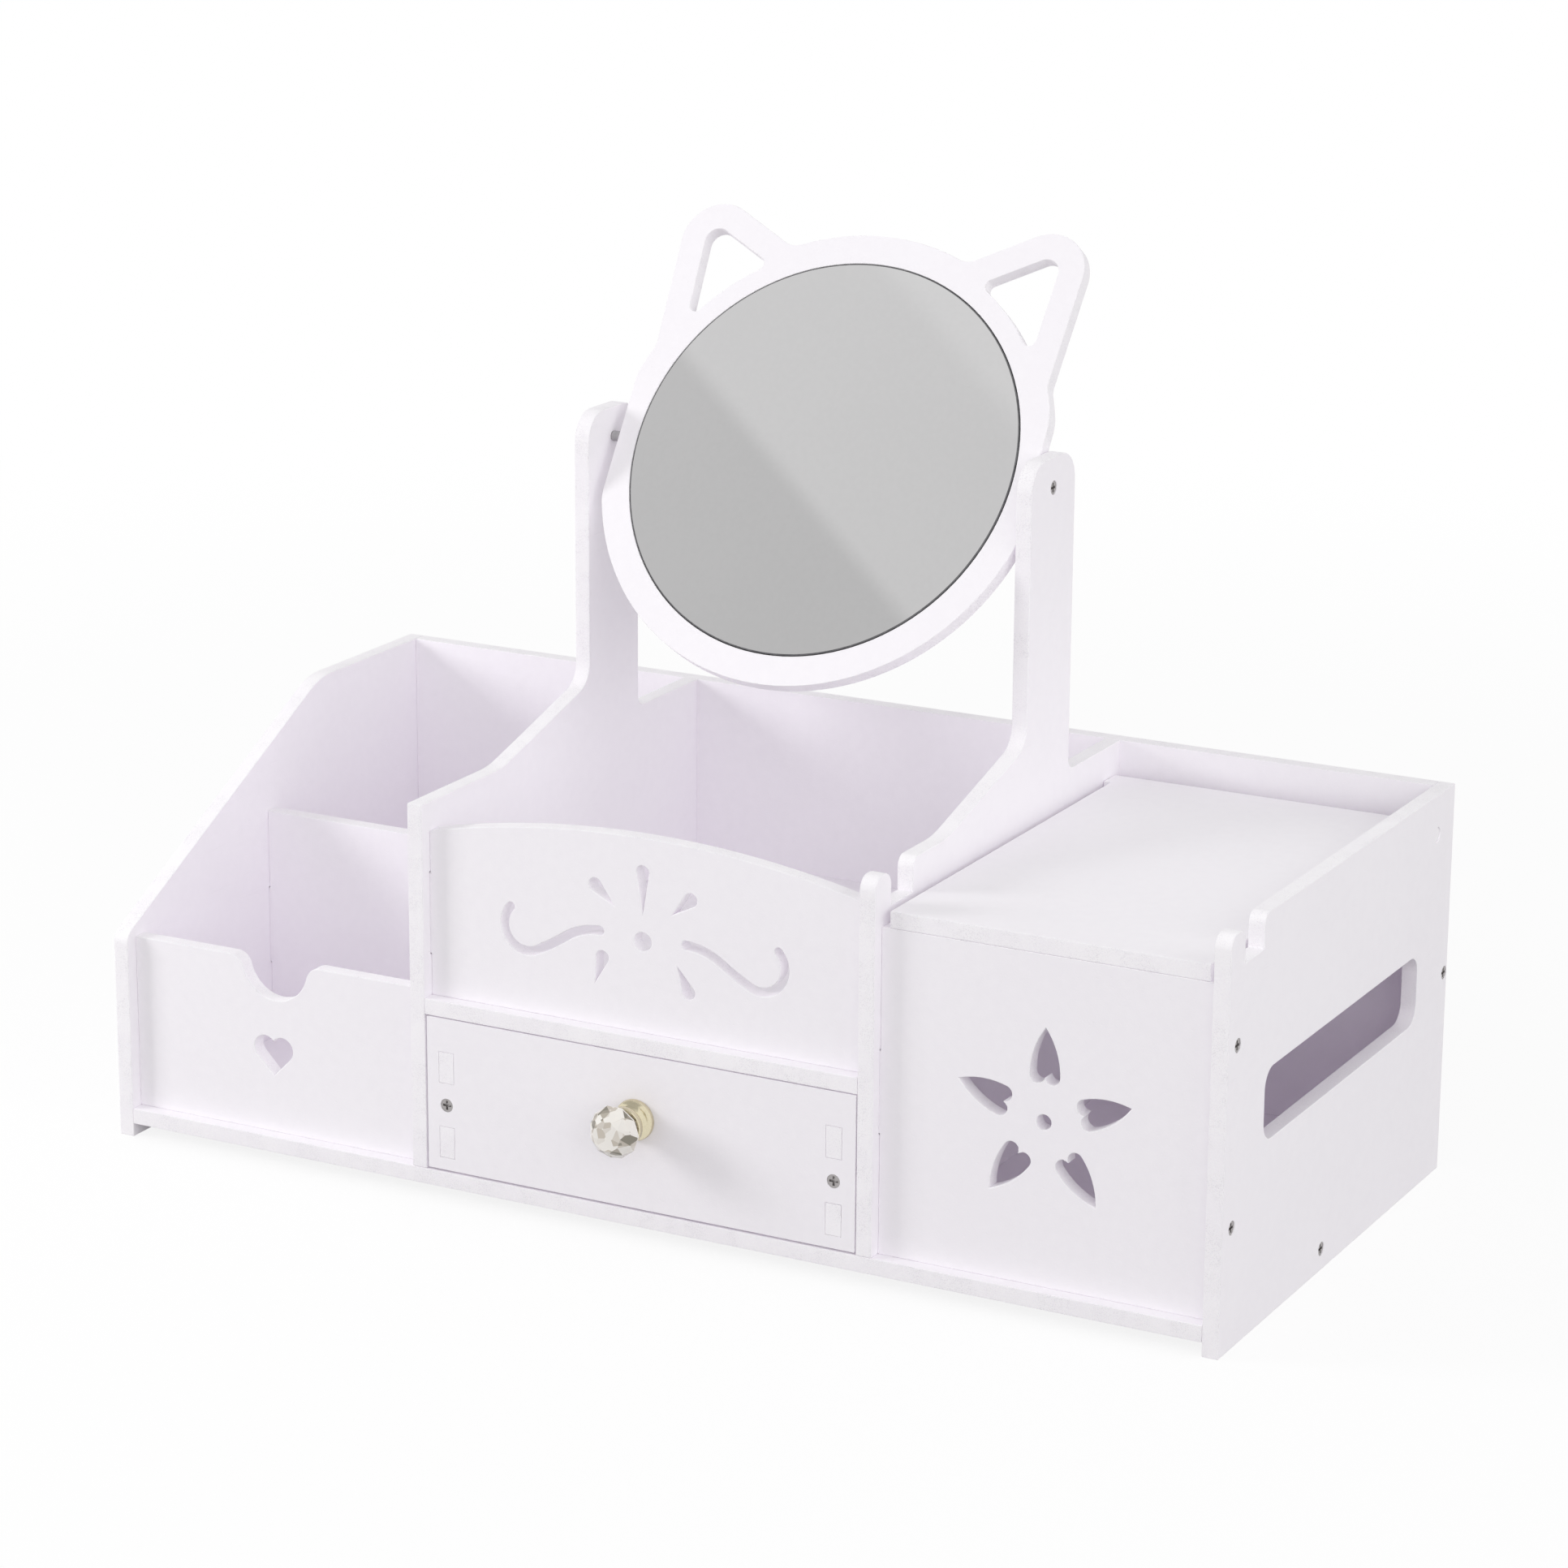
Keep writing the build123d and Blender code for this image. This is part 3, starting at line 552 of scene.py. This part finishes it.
def paint_crystal(tree, surface):
    """Cut crystal whose facets carry painted reflections of light and shade, with small painted glints and
    faint smudges.
    """
    look = settings().fitting
    where = surface_place(tree)
    marks = marks_at(tree, where, crystal_roughness, *crystal_marks)
    facet = put(tree, "ShaderNodeAttribute", {}, attribute_name=facet_tone).outputs["Fac"]
    # Painted glints: small cells of painted reflection over the crystal's facets
    cells = put(tree, "ShaderNodeTexVoronoi", {"Vector": where, "Scale": crystal_painted_glint_scale})
    painted_glint = put(tree, "ShaderNodeSeparateColor", {0: cells.outputs["Color"]}).outputs["Red"]
    facet_part = maths(tree, "MULTIPLY", facet, facet_weight)
    tone = maths(tree, "ADD", facet_part, maths(tree, "MULTIPLY", painted_glint, painted_glint_weight))
    # Painted shade, painted half shade and painted highlight, picked by the facet tone and the painted glints
    painted_half_shade_mask = remap(tree, tone, *crystal_painted_half_shade_turn)
    shade = mixed(tree, painted_half_shade_mask, opaque(look.crystal_painted_shade), opaque(look.crystal_painted_half_shade))
    painted_reflection_colour = mixed(tree, remap(tree, tone, *crystal_painted_highlight_turn), shade, opaque(look.crystal_painted_highlight))
    feed(tree, surface["Base Color"], painted_reflection_colour)
    surface["Transmission Weight"].default_value = look.crystal_clear
    surface["IOR"].default_value = crystal_ior
    feed(tree, surface["Roughness"], marks["Roughness"])


def paint_spacer(tree, surface):
    """Grey moulded plastic."""
    where = surface_place(tree)
    tone = settings().fitting.spacer_colour
    mottle = mottle_at(tree, where, spacer_mottle_scale, tone, toned(tone, spacer_dust_share))
    feed(tree, surface["Base Color"], mottle["Colour"])
    feed(tree, surface["Roughness"], remap(tree, mottle["Mask"], 0.0, 1.0, *spacer_roughness))


def paint_silver(tree, surface):
    """Silvered glass, seen from the front."""
    where = surface_place(tree)
    tone = settings().mirror.silver_colour
    mottle = mottle_at(tree, where, silver_mottle_scale, tone, toned(tone, silver_dim_share))
    marks = marks_at(tree, where, silver_roughness, *silver_marks)
    feed(tree, surface["Base Color"], mottle["Colour"])
    surface["Metallic"].default_value = 1.0
    feed(tree, surface["Roughness"], marks["Roughness"])


def paint_rim(tree, surface):
    """The dark ground edge of the glass."""
    where = surface_place(tree)
    tone = settings().mirror.rim_colour
    mottle = mottle_at(tree, where, rim_mottle_scale, tone, toned(tone, rim_ground_share))
    marks = marks_at(tree, where, rim_roughness, *rim_marks)
    feed(tree, surface["Base Color"], mottle["Colour"])
    feed(tree, surface["Roughness"], marks["Roughness"])
    feed(tree, surface["Normal"], bumped(tree, marks["Height"], rim_relief))


def paint_bond(tree, surface):
    """Grey adhesive film with small bubbles, darkened with painted shade in their hollows."""
    where = surface_place(tree)
    tone = settings().mirror.bond_colour
    hollow_shade = toned(tone, bond_hollow_shade_share)
    pores = pores_at(tree, where, bond_pore_scale)
    feed(tree, surface["Base Color"], mixed(tree, pores["Pores"], opaque(tone), opaque(hollow_shade)))
    feed(tree, surface["Roughness"], remap(tree, pores["Pores"], 0.0, 1.0, *bond_roughness))
    feed(tree, surface["Normal"], bumped(tree, pores["Height"], bond_relief))


def board_finishes():
    """The two finishes of a board: its faces, then its cut edges."""
    return [finish_named("board_film", paint_board_film), finish_named("board_cut_edge", paint_cut_edge)]


# Meshes

def bare_mesh(node):
    """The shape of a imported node, with its seams welded and its flat facets joined."""
    source = frame["nodes"][node].data
    plain = bpy.data.meshes.new(f"{node}_bare")
    faces = [polygon.vertices[:] for polygon in source.polygons]
    plain.from_pydata([vertex.co for vertex in source.vertices], [], faces)
    mesh = bmesh.new()
    mesh.from_mesh(plain)
    bpy.data.meshes.remove(plain)
    bmesh.ops.remove_doubles(mesh, verts=mesh.verts, dist=weld_gap)
    bmesh.ops.dissolve_limit(mesh, angle_limit=flat_angle, verts=mesh.verts[:], edges=mesh.edges[:])
    return mesh


def reach_from(edge, face):
    """How far a face reaches from one of its edges."""
    start = edge.verts[0].co
    way = (edge.verts[1].co - start).normalized()
    return max((vertex.co - start).cross(way).length for vertex in face.verts)


def outer_edges(mesh, least_angle):
    """The outer edges that turn by at least the given angle."""
    closed = [edge for edge in mesh.edges if len(edge.link_faces) == 2]
    return [edge for edge in closed if edge.is_convex and edge.calc_face_angle() >= least_angle]


def crisp_edges(mesh, radius):
    """The sharp outer edges whose two faces both have room for a rounding, away from thin points."""
    points = [vertex.co for edge in outer_edges(mesh, spike_angle) for vertex in edge.verts]
    chosen = []
    for edge in outer_edges(mesh, crisp_angle):
        roomy = all(reach_from(edge, face) > room_share * radius for face in edge.link_faces)
        gaps = [(vertex.co - point).length for vertex in edge.verts for point in points]
        if roomy and all(gap > spike_room_share * radius for gap in gaps):
            chosen.append(edge)
    return chosen


def broad_normal(mesh):
    """The way that the largest face looks, taken towards the front."""
    way = max(mesh.faces, key=lambda face: face.calc_area()).normal.copy()
    return -way if way.y > 0 else way


def round_edges(mesh, radius):
    """Round the sharp outer edges."""
    bmesh.ops.bevel(mesh, geom=crisp_edges(mesh, radius), offset=radius, offset_type="OFFSET",
                    segments=round_segments, profile=round_profile, affect="EDGES", clamp_overlap=False,
                    loop_slide=False, material=-1)


def smooth_all(mesh):
    """Shade smooth, apart from the edges that stay sharp."""
    for face in mesh.faces:
        face.smooth = True
    for edge in mesh.edges:
        edge.smooth = len(edge.link_faces) == 2 and edge.calc_face_angle() < crisp_angle


def add_piece(name, mesh, finishes, node):
    """Put a finished mesh in the scene in place of a node, on the body that carries it."""
    if name in bpy.data.objects:
        raise RuntimeError(f"{name} is in the scene already")
    data = bpy.data.meshes.new(name)
    mesh.to_mesh(data)
    mesh.free()
    for finish in finishes:
        data.materials.append(finish)
    piece = bpy.data.objects.new(name, data)
    bpy.context.scene.collection.objects.link(piece)
    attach(piece, body_of[node])
    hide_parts(node)
    return piece


def keep_flats(piece):
    """Let the large faces set the shading, so that flats stay flat beside rounded edges."""
    weighted = piece.modifiers.new("Flat faces", "WEIGHTED_NORMAL")
    weighted.keep_sharp = True


def dress_board(node, edge_round):
    """A board with rounded edges, filmed faces and foam at its cut edges."""
    mesh = bare_mesh(node)
    across = broad_normal(mesh)
    round_edges(mesh, edge_round)
    smooth_all(mesh)
    for face in mesh.faces:
        face.material_index = 0 if abs(face.normal.dot(across)) > broad_cosine else 1
    keep_flats(add_piece(f"{node}_dressed", mesh, board_finishes(), node))


def knob_place(node):
    """Where a knob piece starts on the knob's axis, which runs to the front, with its length and radius."""
    low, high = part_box(node)
    middle = (low + high) / 2
    start = Matrix.Translation((middle.x, high.y, middle.z)) @ Matrix.Rotation(math.radians(90), 4, "X")
    return start, high.y - low.y, (high.z - low.z) / 2


def ring(mesh, start, radius, along, sides, turn=0.0):
    """A ring of points round the knob's axis, turned by a share of one side."""
    points = []
    for step in range(sides):
        way = math.tau * (step + turn) / sides
        points.append(mesh.verts.new(start @ Vector((radius * math.cos(way), radius * math.sin(way), along))))
    return points


def join_rings(mesh, lower, upper):
    """A band of four-sided faces between two rings."""
    count = len(lower)
    for step in range(count):
        after = (step + 1) % count
        mesh.faces.new((lower[step], lower[after], upper[after], upper[step]))


def facet_rings(mesh, lower, upper):
    """A band of triangles between two rings, the upper one turned half a side on."""
    count = len(lower)
    for step in range(count):
        after = (step + 1) % count
        mesh.faces.new((lower[step], lower[after], upper[step]))
        mesh.faces.new((lower[after], upper[after], upper[step]))


def collar_mesh():
    """A turned collar: a round foot, a hollow neck and a cup that holds the crystal."""
    start, run, radius = knob_place("knob_collar")
    sides = settings().fitting.collar_sides
    mesh = bmesh.new()
    rings = [ring(mesh, start, out * radius, along * run, sides) for along, out in collar_shares]
    for lower, upper in zip(rings, rings[1:]):
        join_rings(mesh, lower, upper)
    mesh.faces.new(rings[0])
    mesh.faces.new(rings[-1])
    bmesh.ops.recalc_face_normals(mesh, faces=mesh.faces[:])
    return mesh


def crystal_mesh():
    """A clear head with a seat, a skirt of facets, a thin girdle and a crown with a flat table."""
    start, run, radius = knob_place("knob_crystal")
    sides = settings().fitting.crystal_sides
    mesh = bmesh.new()

    def rings_at(shares, turns):
        """Rings of the given shares, each turned by its share of a side."""
        return [ring(mesh, start, out * radius, along * run, sides, turn)
                for (along, out), turn in zip(shares, turns)]

    seat = rings_at(crystal_seat_shares, crystal_seat_turns)
    skirt = rings_at(crystal_facet_shares, crystal_facet_turns)
    crown = rings_at(crystal_crown_shares, crystal_crown_turns)
    mesh.faces.new(seat[0])
    join_rings(mesh, seat[0], seat[1])
    join_rings(mesh, seat[1], skirt[0])
    facet_rings(mesh, skirt[0], skirt[1])
    facet_rings(mesh, skirt[1], skirt[2])
    join_rings(mesh, skirt[2], crown[0])
    facet_rings(mesh, crown[0], crown[1])
    facet_rings(mesh, crown[1], crown[2])
    mesh.faces.new(crown[2])
    bmesh.ops.recalc_face_normals(mesh, faces=mesh.faces[:])
    # Each facet's tone picks its painted reflection of light or shade
    tones = mesh.faces.layers.float.new(facet_tone)
    for number, face in enumerate(mesh.faces):
        face[tones] = number * facet_tone_step % facet_tone_count / (facet_tone_count - 1)
    return mesh


# Stage

def camera_axes(stage):
    """The camera's right, up and back directions, with its roll."""
    azimuth, elevation = stage.camera_azimuth, stage.camera_elevation
    back = Vector((math.sin(azimuth) * math.cos(elevation), -math.cos(azimuth) * math.cos(elevation),
                   math.sin(elevation)))
    level = Vector((math.cos(azimuth), math.sin(azimuth), 0.0))
    roll = Matrix.Rotation(stage.camera_roll, 3, back)
    return roll @ level, roll @ back.cross(level), back


def facing(position, right, up, back):
    """A place whose own X, Y and Z run along the given directions."""
    turn = Matrix((right, up, back)).transposed().to_4x4()
    return Matrix.Translation(position) @ turn


def set_camera(stage):
    """A long lens at the photograph's angle."""
    right, up, back = camera_axes(stage)
    data = bpy.data.cameras.new("stage_camera")
    data.lens = stage.camera_lens
    data.clip_end = stage.floor_size * 2
    camera = bpy.data.objects.new("stage_camera", data)
    bpy.context.scene.collection.objects.link(camera)
    camera.matrix_world = facing(Vector(stage.camera_target) + back * stage.camera_distance, right, up, back)
    bpy.context.scene.camera = camera
    return camera


def seen_directly(tree):
    """One for rays from the camera, from mirrors and through glass, and zero for the rest."""
    path = tree.nodes.new("ShaderNodeLightPath").outputs
    either = maths(tree, "MAXIMUM", path["Is Camera Ray"], path["Is Glossy Ray"])
    return maths(tree, "MAXIMUM", either, path["Is Transmission Ray"])


def set_world(stage):
    """White where it is seen, and an even light elsewhere."""
    world = bpy.data.worlds.new("stage_world")
    world.use_nodes = True
    tree = world.node_tree
    light = tree.nodes["Background"]
    light.inputs["Color"].default_value = opaque(plain_white)
    light.inputs["Strength"].default_value = stage.ambient
    white = put(tree, "ShaderNodeBackground", {"Color": opaque(plain_white), "Strength": 1.0})
    mix = put(tree, "ShaderNodeMixShader", {0: seen_directly(tree), 1: light.outputs[0], 2: white.outputs[0]})
    feed(tree, tree.nodes["World Output"].inputs["Surface"], mix.outputs[0])
    bpy.context.scene.world = world


def flat_square(name, side):
    """A square mesh about its own origin."""
    half = side / 2
    data = bpy.data.meshes.new(name)
    corners = [(-half, -half, 0.0), (half, -half, 0.0), (half, half, 0.0), (-half, half, 0.0)]
    data.from_pydata(corners, [], [(0, 1, 2, 3)])
    square = bpy.data.objects.new(name, data)
    bpy.context.scene.collection.objects.link(square)
    return square


def paint_floor(tree, surface):
    """Pale floor that keeps a soft shadow by the object and shows white farther out."""
    stage = settings().stage
    where = surface_place(tree)
    tone = stage.bounce_colour
    mottle = mottle_at(tree, where, floor_mottle_scale, tone, toned(tone, floor_dim_share))
    seen = seen_directly(tree)
    feed(tree, surface["Base Color"], mixed(tree, seen, mottle["Colour"], opaque(stage.floor_colour)))
    surface["Roughness"].default_value = floor_roughness
    surface["Specular IOR Level"].default_value = 0.0
    white = put(tree, "ShaderNodeEmission", {"Color": opaque(plain_white), "Strength": 1.0})
    out = put(tree, "ShaderNodeVectorMath", {0: where}, operation="LENGTH").outputs["Value"]
    plain = remap(tree, out, stage.shadow_reach, stage.white_reach, stage.floor_white, 1.0)
    amount = maths(tree, "MULTIPLY", seen, plain)
    lit = tree.nodes["Principled BSDF"].outputs[0]
    mix = put(tree, "ShaderNodeMixShader", {0: amount, 1: lit, 2: white.outputs[0]})
    feed(tree, tree.nodes["Material Output"].inputs["Surface"], mix.outputs[0])


def paint_card(tree, surface):
    """Three grey bands with soft borders, each a little paler to one side."""
    where = put(tree, "ShaderNodeSeparateXYZ", {0: surface_place(tree)}).outputs
    lower = remap(tree, where["Y"], *card_low_turn, *card_low_tones)
    upper = remap(tree, where["Y"], *card_high_turn, *card_high_tones)
    side = remap(tree, where["X"], *card_side_turn, *card_side_tones)
    tone = maths(tree, "MULTIPLY", maths(tree, "ADD", lower, upper), side)
    glow = put(tree, "ShaderNodeEmission", {"Color": opaque(card_tint), "Strength": tone})
    feed(tree, tree.nodes["Material Output"].inputs["Surface"], glow.outputs[0])


def set_floor(stage):
    """A wide floor that the feet stand on."""
    floor = flat_square("stage_floor", stage.floor_size)
    floor.location.z = cad_box[0].z
    floor.data.materials.append(finish_named("stage_floor", paint_floor))


def set_card(stage, camera):
    """A grey card where the mirror looks from the camera, seen only in reflections."""
    low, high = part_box("mirror_glass")
    middle = (low + high) / 2
    mesh = bare_mesh("mirror_glass")
    normal = broad_normal(mesh)
    mesh.free()
    sight = (middle - camera.matrix_world.translation).normalized()
    away = sight.reflect(normal)
    side = Vector((0.0, 0.0, 1.0)).cross(-away).normalized()
    upward = (-away).cross(side)
    card = flat_square("stage_card", stage.card_size)
    card.matrix_world = facing(middle + away * stage.card_distance, side, upward, -away)
    card.matrix_world @= Matrix.Rotation(stage.card_turn, 4, "Z")
    card.data.materials.append(finish_named("stage_card", paint_card))
    card.visible_camera = False
    card.visible_diffuse = False
    card.visible_shadow = False
    card.visible_transmission = False


def add_lamp(stage, kind):
    """A square soft lamp of the kind that the settings name, seen only by what it lights."""
    name = f"stage_{kind}_lamp"
    position, side, watts = (getattr(stage, f"{kind}_{value}") for value in ("place", "side", "power"))
    data = bpy.data.lights.new(name, "AREA")
    data.size = side
    data.energy = watts
    lamp = bpy.data.objects.new(name, data)
    bpy.context.scene.collection.objects.link(lamp)
    lamp.location = position
    lamp.rotation_euler = (Vector(stage.lamp_aim) - Vector(position)).to_track_quat("-Z", "Y").to_euler()
    lamp.visible_camera = False
    lamp.visible_glossy = False


# Operators

class ORGANISER_OT_carcass_boards(Operator):
    """Dress the base, the back, the sides, the posts, the divider and the shelf"""
    bl_idname = "organiser.carcass_boards"
    bl_label = "Carcass boards"

    def execute(self, context):
        for node in ("base_board", "back_panel", "left_side_panel", "right_side_panel", "left_post_panel",
                     "right_post_panel", "left_divider", "centre_shelf"):
            dress_board(node, settings().board.edge_round)
        return {"FINISHED"}


class ORGANISER_OT_front_panels(Operator):
    """Dress the three front panels with their cut ornaments"""
    bl_idname = "organiser.front_panels"
    bl_label = "Front panels"

    def execute(self, context):
        for node in ("left_front_panel", "centre_front_panel", "right_front_panel"):
            dress_board(node, settings().board.edge_round)
        return {"FINISHED"}


class ORGANISER_OT_lid(Operator):
    """Dress the lid of the right-hand box"""
    bl_idname = "organiser.lid"
    bl_label = "Lid"

    def execute(self, context):
        dress_board("lid", settings().board.edge_round)
        return {"FINISHED"}


class ORGANISER_OT_drawer_boards(Operator):
    """Dress the drawer's front, sides, bottom and back"""
    bl_idname = "organiser.drawer_boards"
    bl_label = "Drawer boards"

    def execute(self, context):
        for node in ("drawer_front", "drawer_left_side", "drawer_right_side", "drawer_bottom", "drawer_back"):
            dress_board(node, settings().board.drawer_edge_round)
        return {"FINISHED"}


class ORGANISER_OT_screws(Operator):
    """Give every screw its dark plated finish"""
    bl_idname = "organiser.screws"
    bl_label = "Screws"

    def execute(self, context):
        steel = finish_named("screw_steel", paint_screw_steel)
        for node, slot in slot_of.items():
            if slot == "screw_steel":
                materials = frame["nodes"][node].data.materials
                materials.clear()
                materials.append(steel)
        return {"FINISHED"}


class ORGANISER_OT_knob_collar(Operator):
    """Turn the gold collar of the knob"""
    bl_idname = "organiser.knob_collar"
    bl_label = "Knob collar"

    def execute(self, context):
        mesh = collar_mesh()
        smooth_all(mesh)
        add_piece("knob_collar_turned", mesh, [finish_named("knob_gold", paint_gold)], "knob_collar")
        return {"FINISHED"}


class ORGANISER_OT_knob_crystal(Operator):
    """Cut the clear head of the knob"""
    bl_idname = "organiser.knob_crystal"
    bl_label = "Knob crystal"

    def execute(self, context):
        clear = finish_named("knob_crystal", paint_crystal)
        add_piece("knob_crystal_cut", crystal_mesh(), [clear], "knob_crystal")
        return {"FINISHED"}


class ORGANISER_OT_mirror_frame(Operator):
    """Dress the round board with two ears that holds the glass"""
    bl_idname = "organiser.mirror_frame"
    bl_label = "Mirror frame"

    def execute(self, context):
        dress_board("mirror_frame", settings().board.edge_round)
        return {"FINISHED"}


class ORGANISER_OT_mirror_glass(Operator):
    """Silver the glass, darken its ground edge and lay the bonding film behind it"""
    bl_idname = "organiser.mirror_glass"
    bl_label = "Mirror glass"

    def execute(self, context):
        mesh = bare_mesh("mirror_glass")
        front = broad_normal(mesh)
        smooth_all(mesh)
        for face in mesh.faces:
            face.material_index = 0 if face.normal.dot(front) > broad_cosine else 1
        finishes = [finish_named("mirror_silver", paint_silver), finish_named("mirror_rim", paint_rim)]
        keep_flats(add_piece("mirror_glass_silvered", mesh, finishes, "mirror_glass"))
        film = bare_mesh("mirror_pad")
        smooth_all(film)
        bond = finish_named("mirror_bond", paint_bond)
        keep_flats(add_piece("mirror_pad_bond", film, [bond], "mirror_pad"))
        return {"FINISHED"}


class ORGANISER_OT_pivot_spacers(Operator):
    """Dress the grey spacers between the posts and the mirror"""
    bl_idname = "organiser.pivot_spacers"
    bl_label = "Pivot spacers"

    def execute(self, context):
        mesh = bare_mesh("pivot_spacers")
        round_edges(mesh, settings().board.edge_round * spacer_round_share)
        smooth_all(mesh)
        plastic = finish_named("pivot_plastic", paint_spacer)
        keep_flats(add_piece("pivot_spacers_dressed", mesh, [plastic], "pivot_spacers"))
        return {"FINISHED"}


class ORGANISER_OT_stage(Operator):
    """Set the camera, the floor, the lamps and the card that the mirror reflects"""
    bl_idname = "organiser.stage"
    bl_label = "Stage"

    def execute(self, context):
        stage = settings().stage
        camera = set_camera(stage)
        set_world(stage)
        set_floor(stage)
        set_card(stage, camera)
        for kind in ("key", "front", "fill"):
            add_lamp(stage, kind)
        context.scene.view_settings.view_transform = "Standard"
        context.scene.cycles.max_bounces = stage.light_bounces
        context.scene.cycles.diffuse_bounces = stage.light_bounces
        return {"FINISHED"}


piece_operators = (
    ORGANISER_OT_carcass_boards,
    ORGANISER_OT_front_panels,
    ORGANISER_OT_lid,
    ORGANISER_OT_drawer_boards,
    ORGANISER_OT_screws,
    ORGANISER_OT_knob_collar,
    ORGANISER_OT_knob_crystal,
    ORGANISER_OT_mirror_frame,
    ORGANISER_OT_mirror_glass,
    ORGANISER_OT_pivot_spacers,
    ORGANISER_OT_stage,
)


class ORGANISER_PT_sidebar(Panel):
    """The organiser's settings and its operators"""
    bl_idname = "ORGANISER_PT_sidebar"
    bl_label = "Makeup organiser"
    bl_space_type = "VIEW_3D"
    bl_region_type = "UI"
    bl_category = "Organiser"

    def draw(self, context):
        choices = context.scene.organiser
        for title in ("board", "fitting", "mirror", "stage"):
            box = self.layout.box()
            box.label(text=title.capitalize())
            group = getattr(choices, title)
            for name in group.__annotations__:
                box.prop(group, name)
        for operator in piece_operators:
            self.layout.operator(operator.bl_idname)


setting_groups = (BoardLook, FittingLook, MirrorLook, StageLook, OrganiserSettings)


def register():
    for kind in (*setting_groups, *piece_operators, ORGANISER_PT_sidebar):
        bpy.utils.register_class(kind)
    bpy.types.Scene.organiser = PointerProperty(type=OrganiserSettings)


def unregister():
    del bpy.types.Scene.organiser
    for kind in reversed((*setting_groups, *piece_operators, ORGANISER_PT_sidebar)):
        bpy.utils.unregister_class(kind)


def main():
    """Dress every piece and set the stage."""
    register()
    for operator in piece_operators:
        family, name = operator.bl_idname.split(".")
        getattr(getattr(bpy.ops, family), name)()


if __name__ == "__main__":
    main()
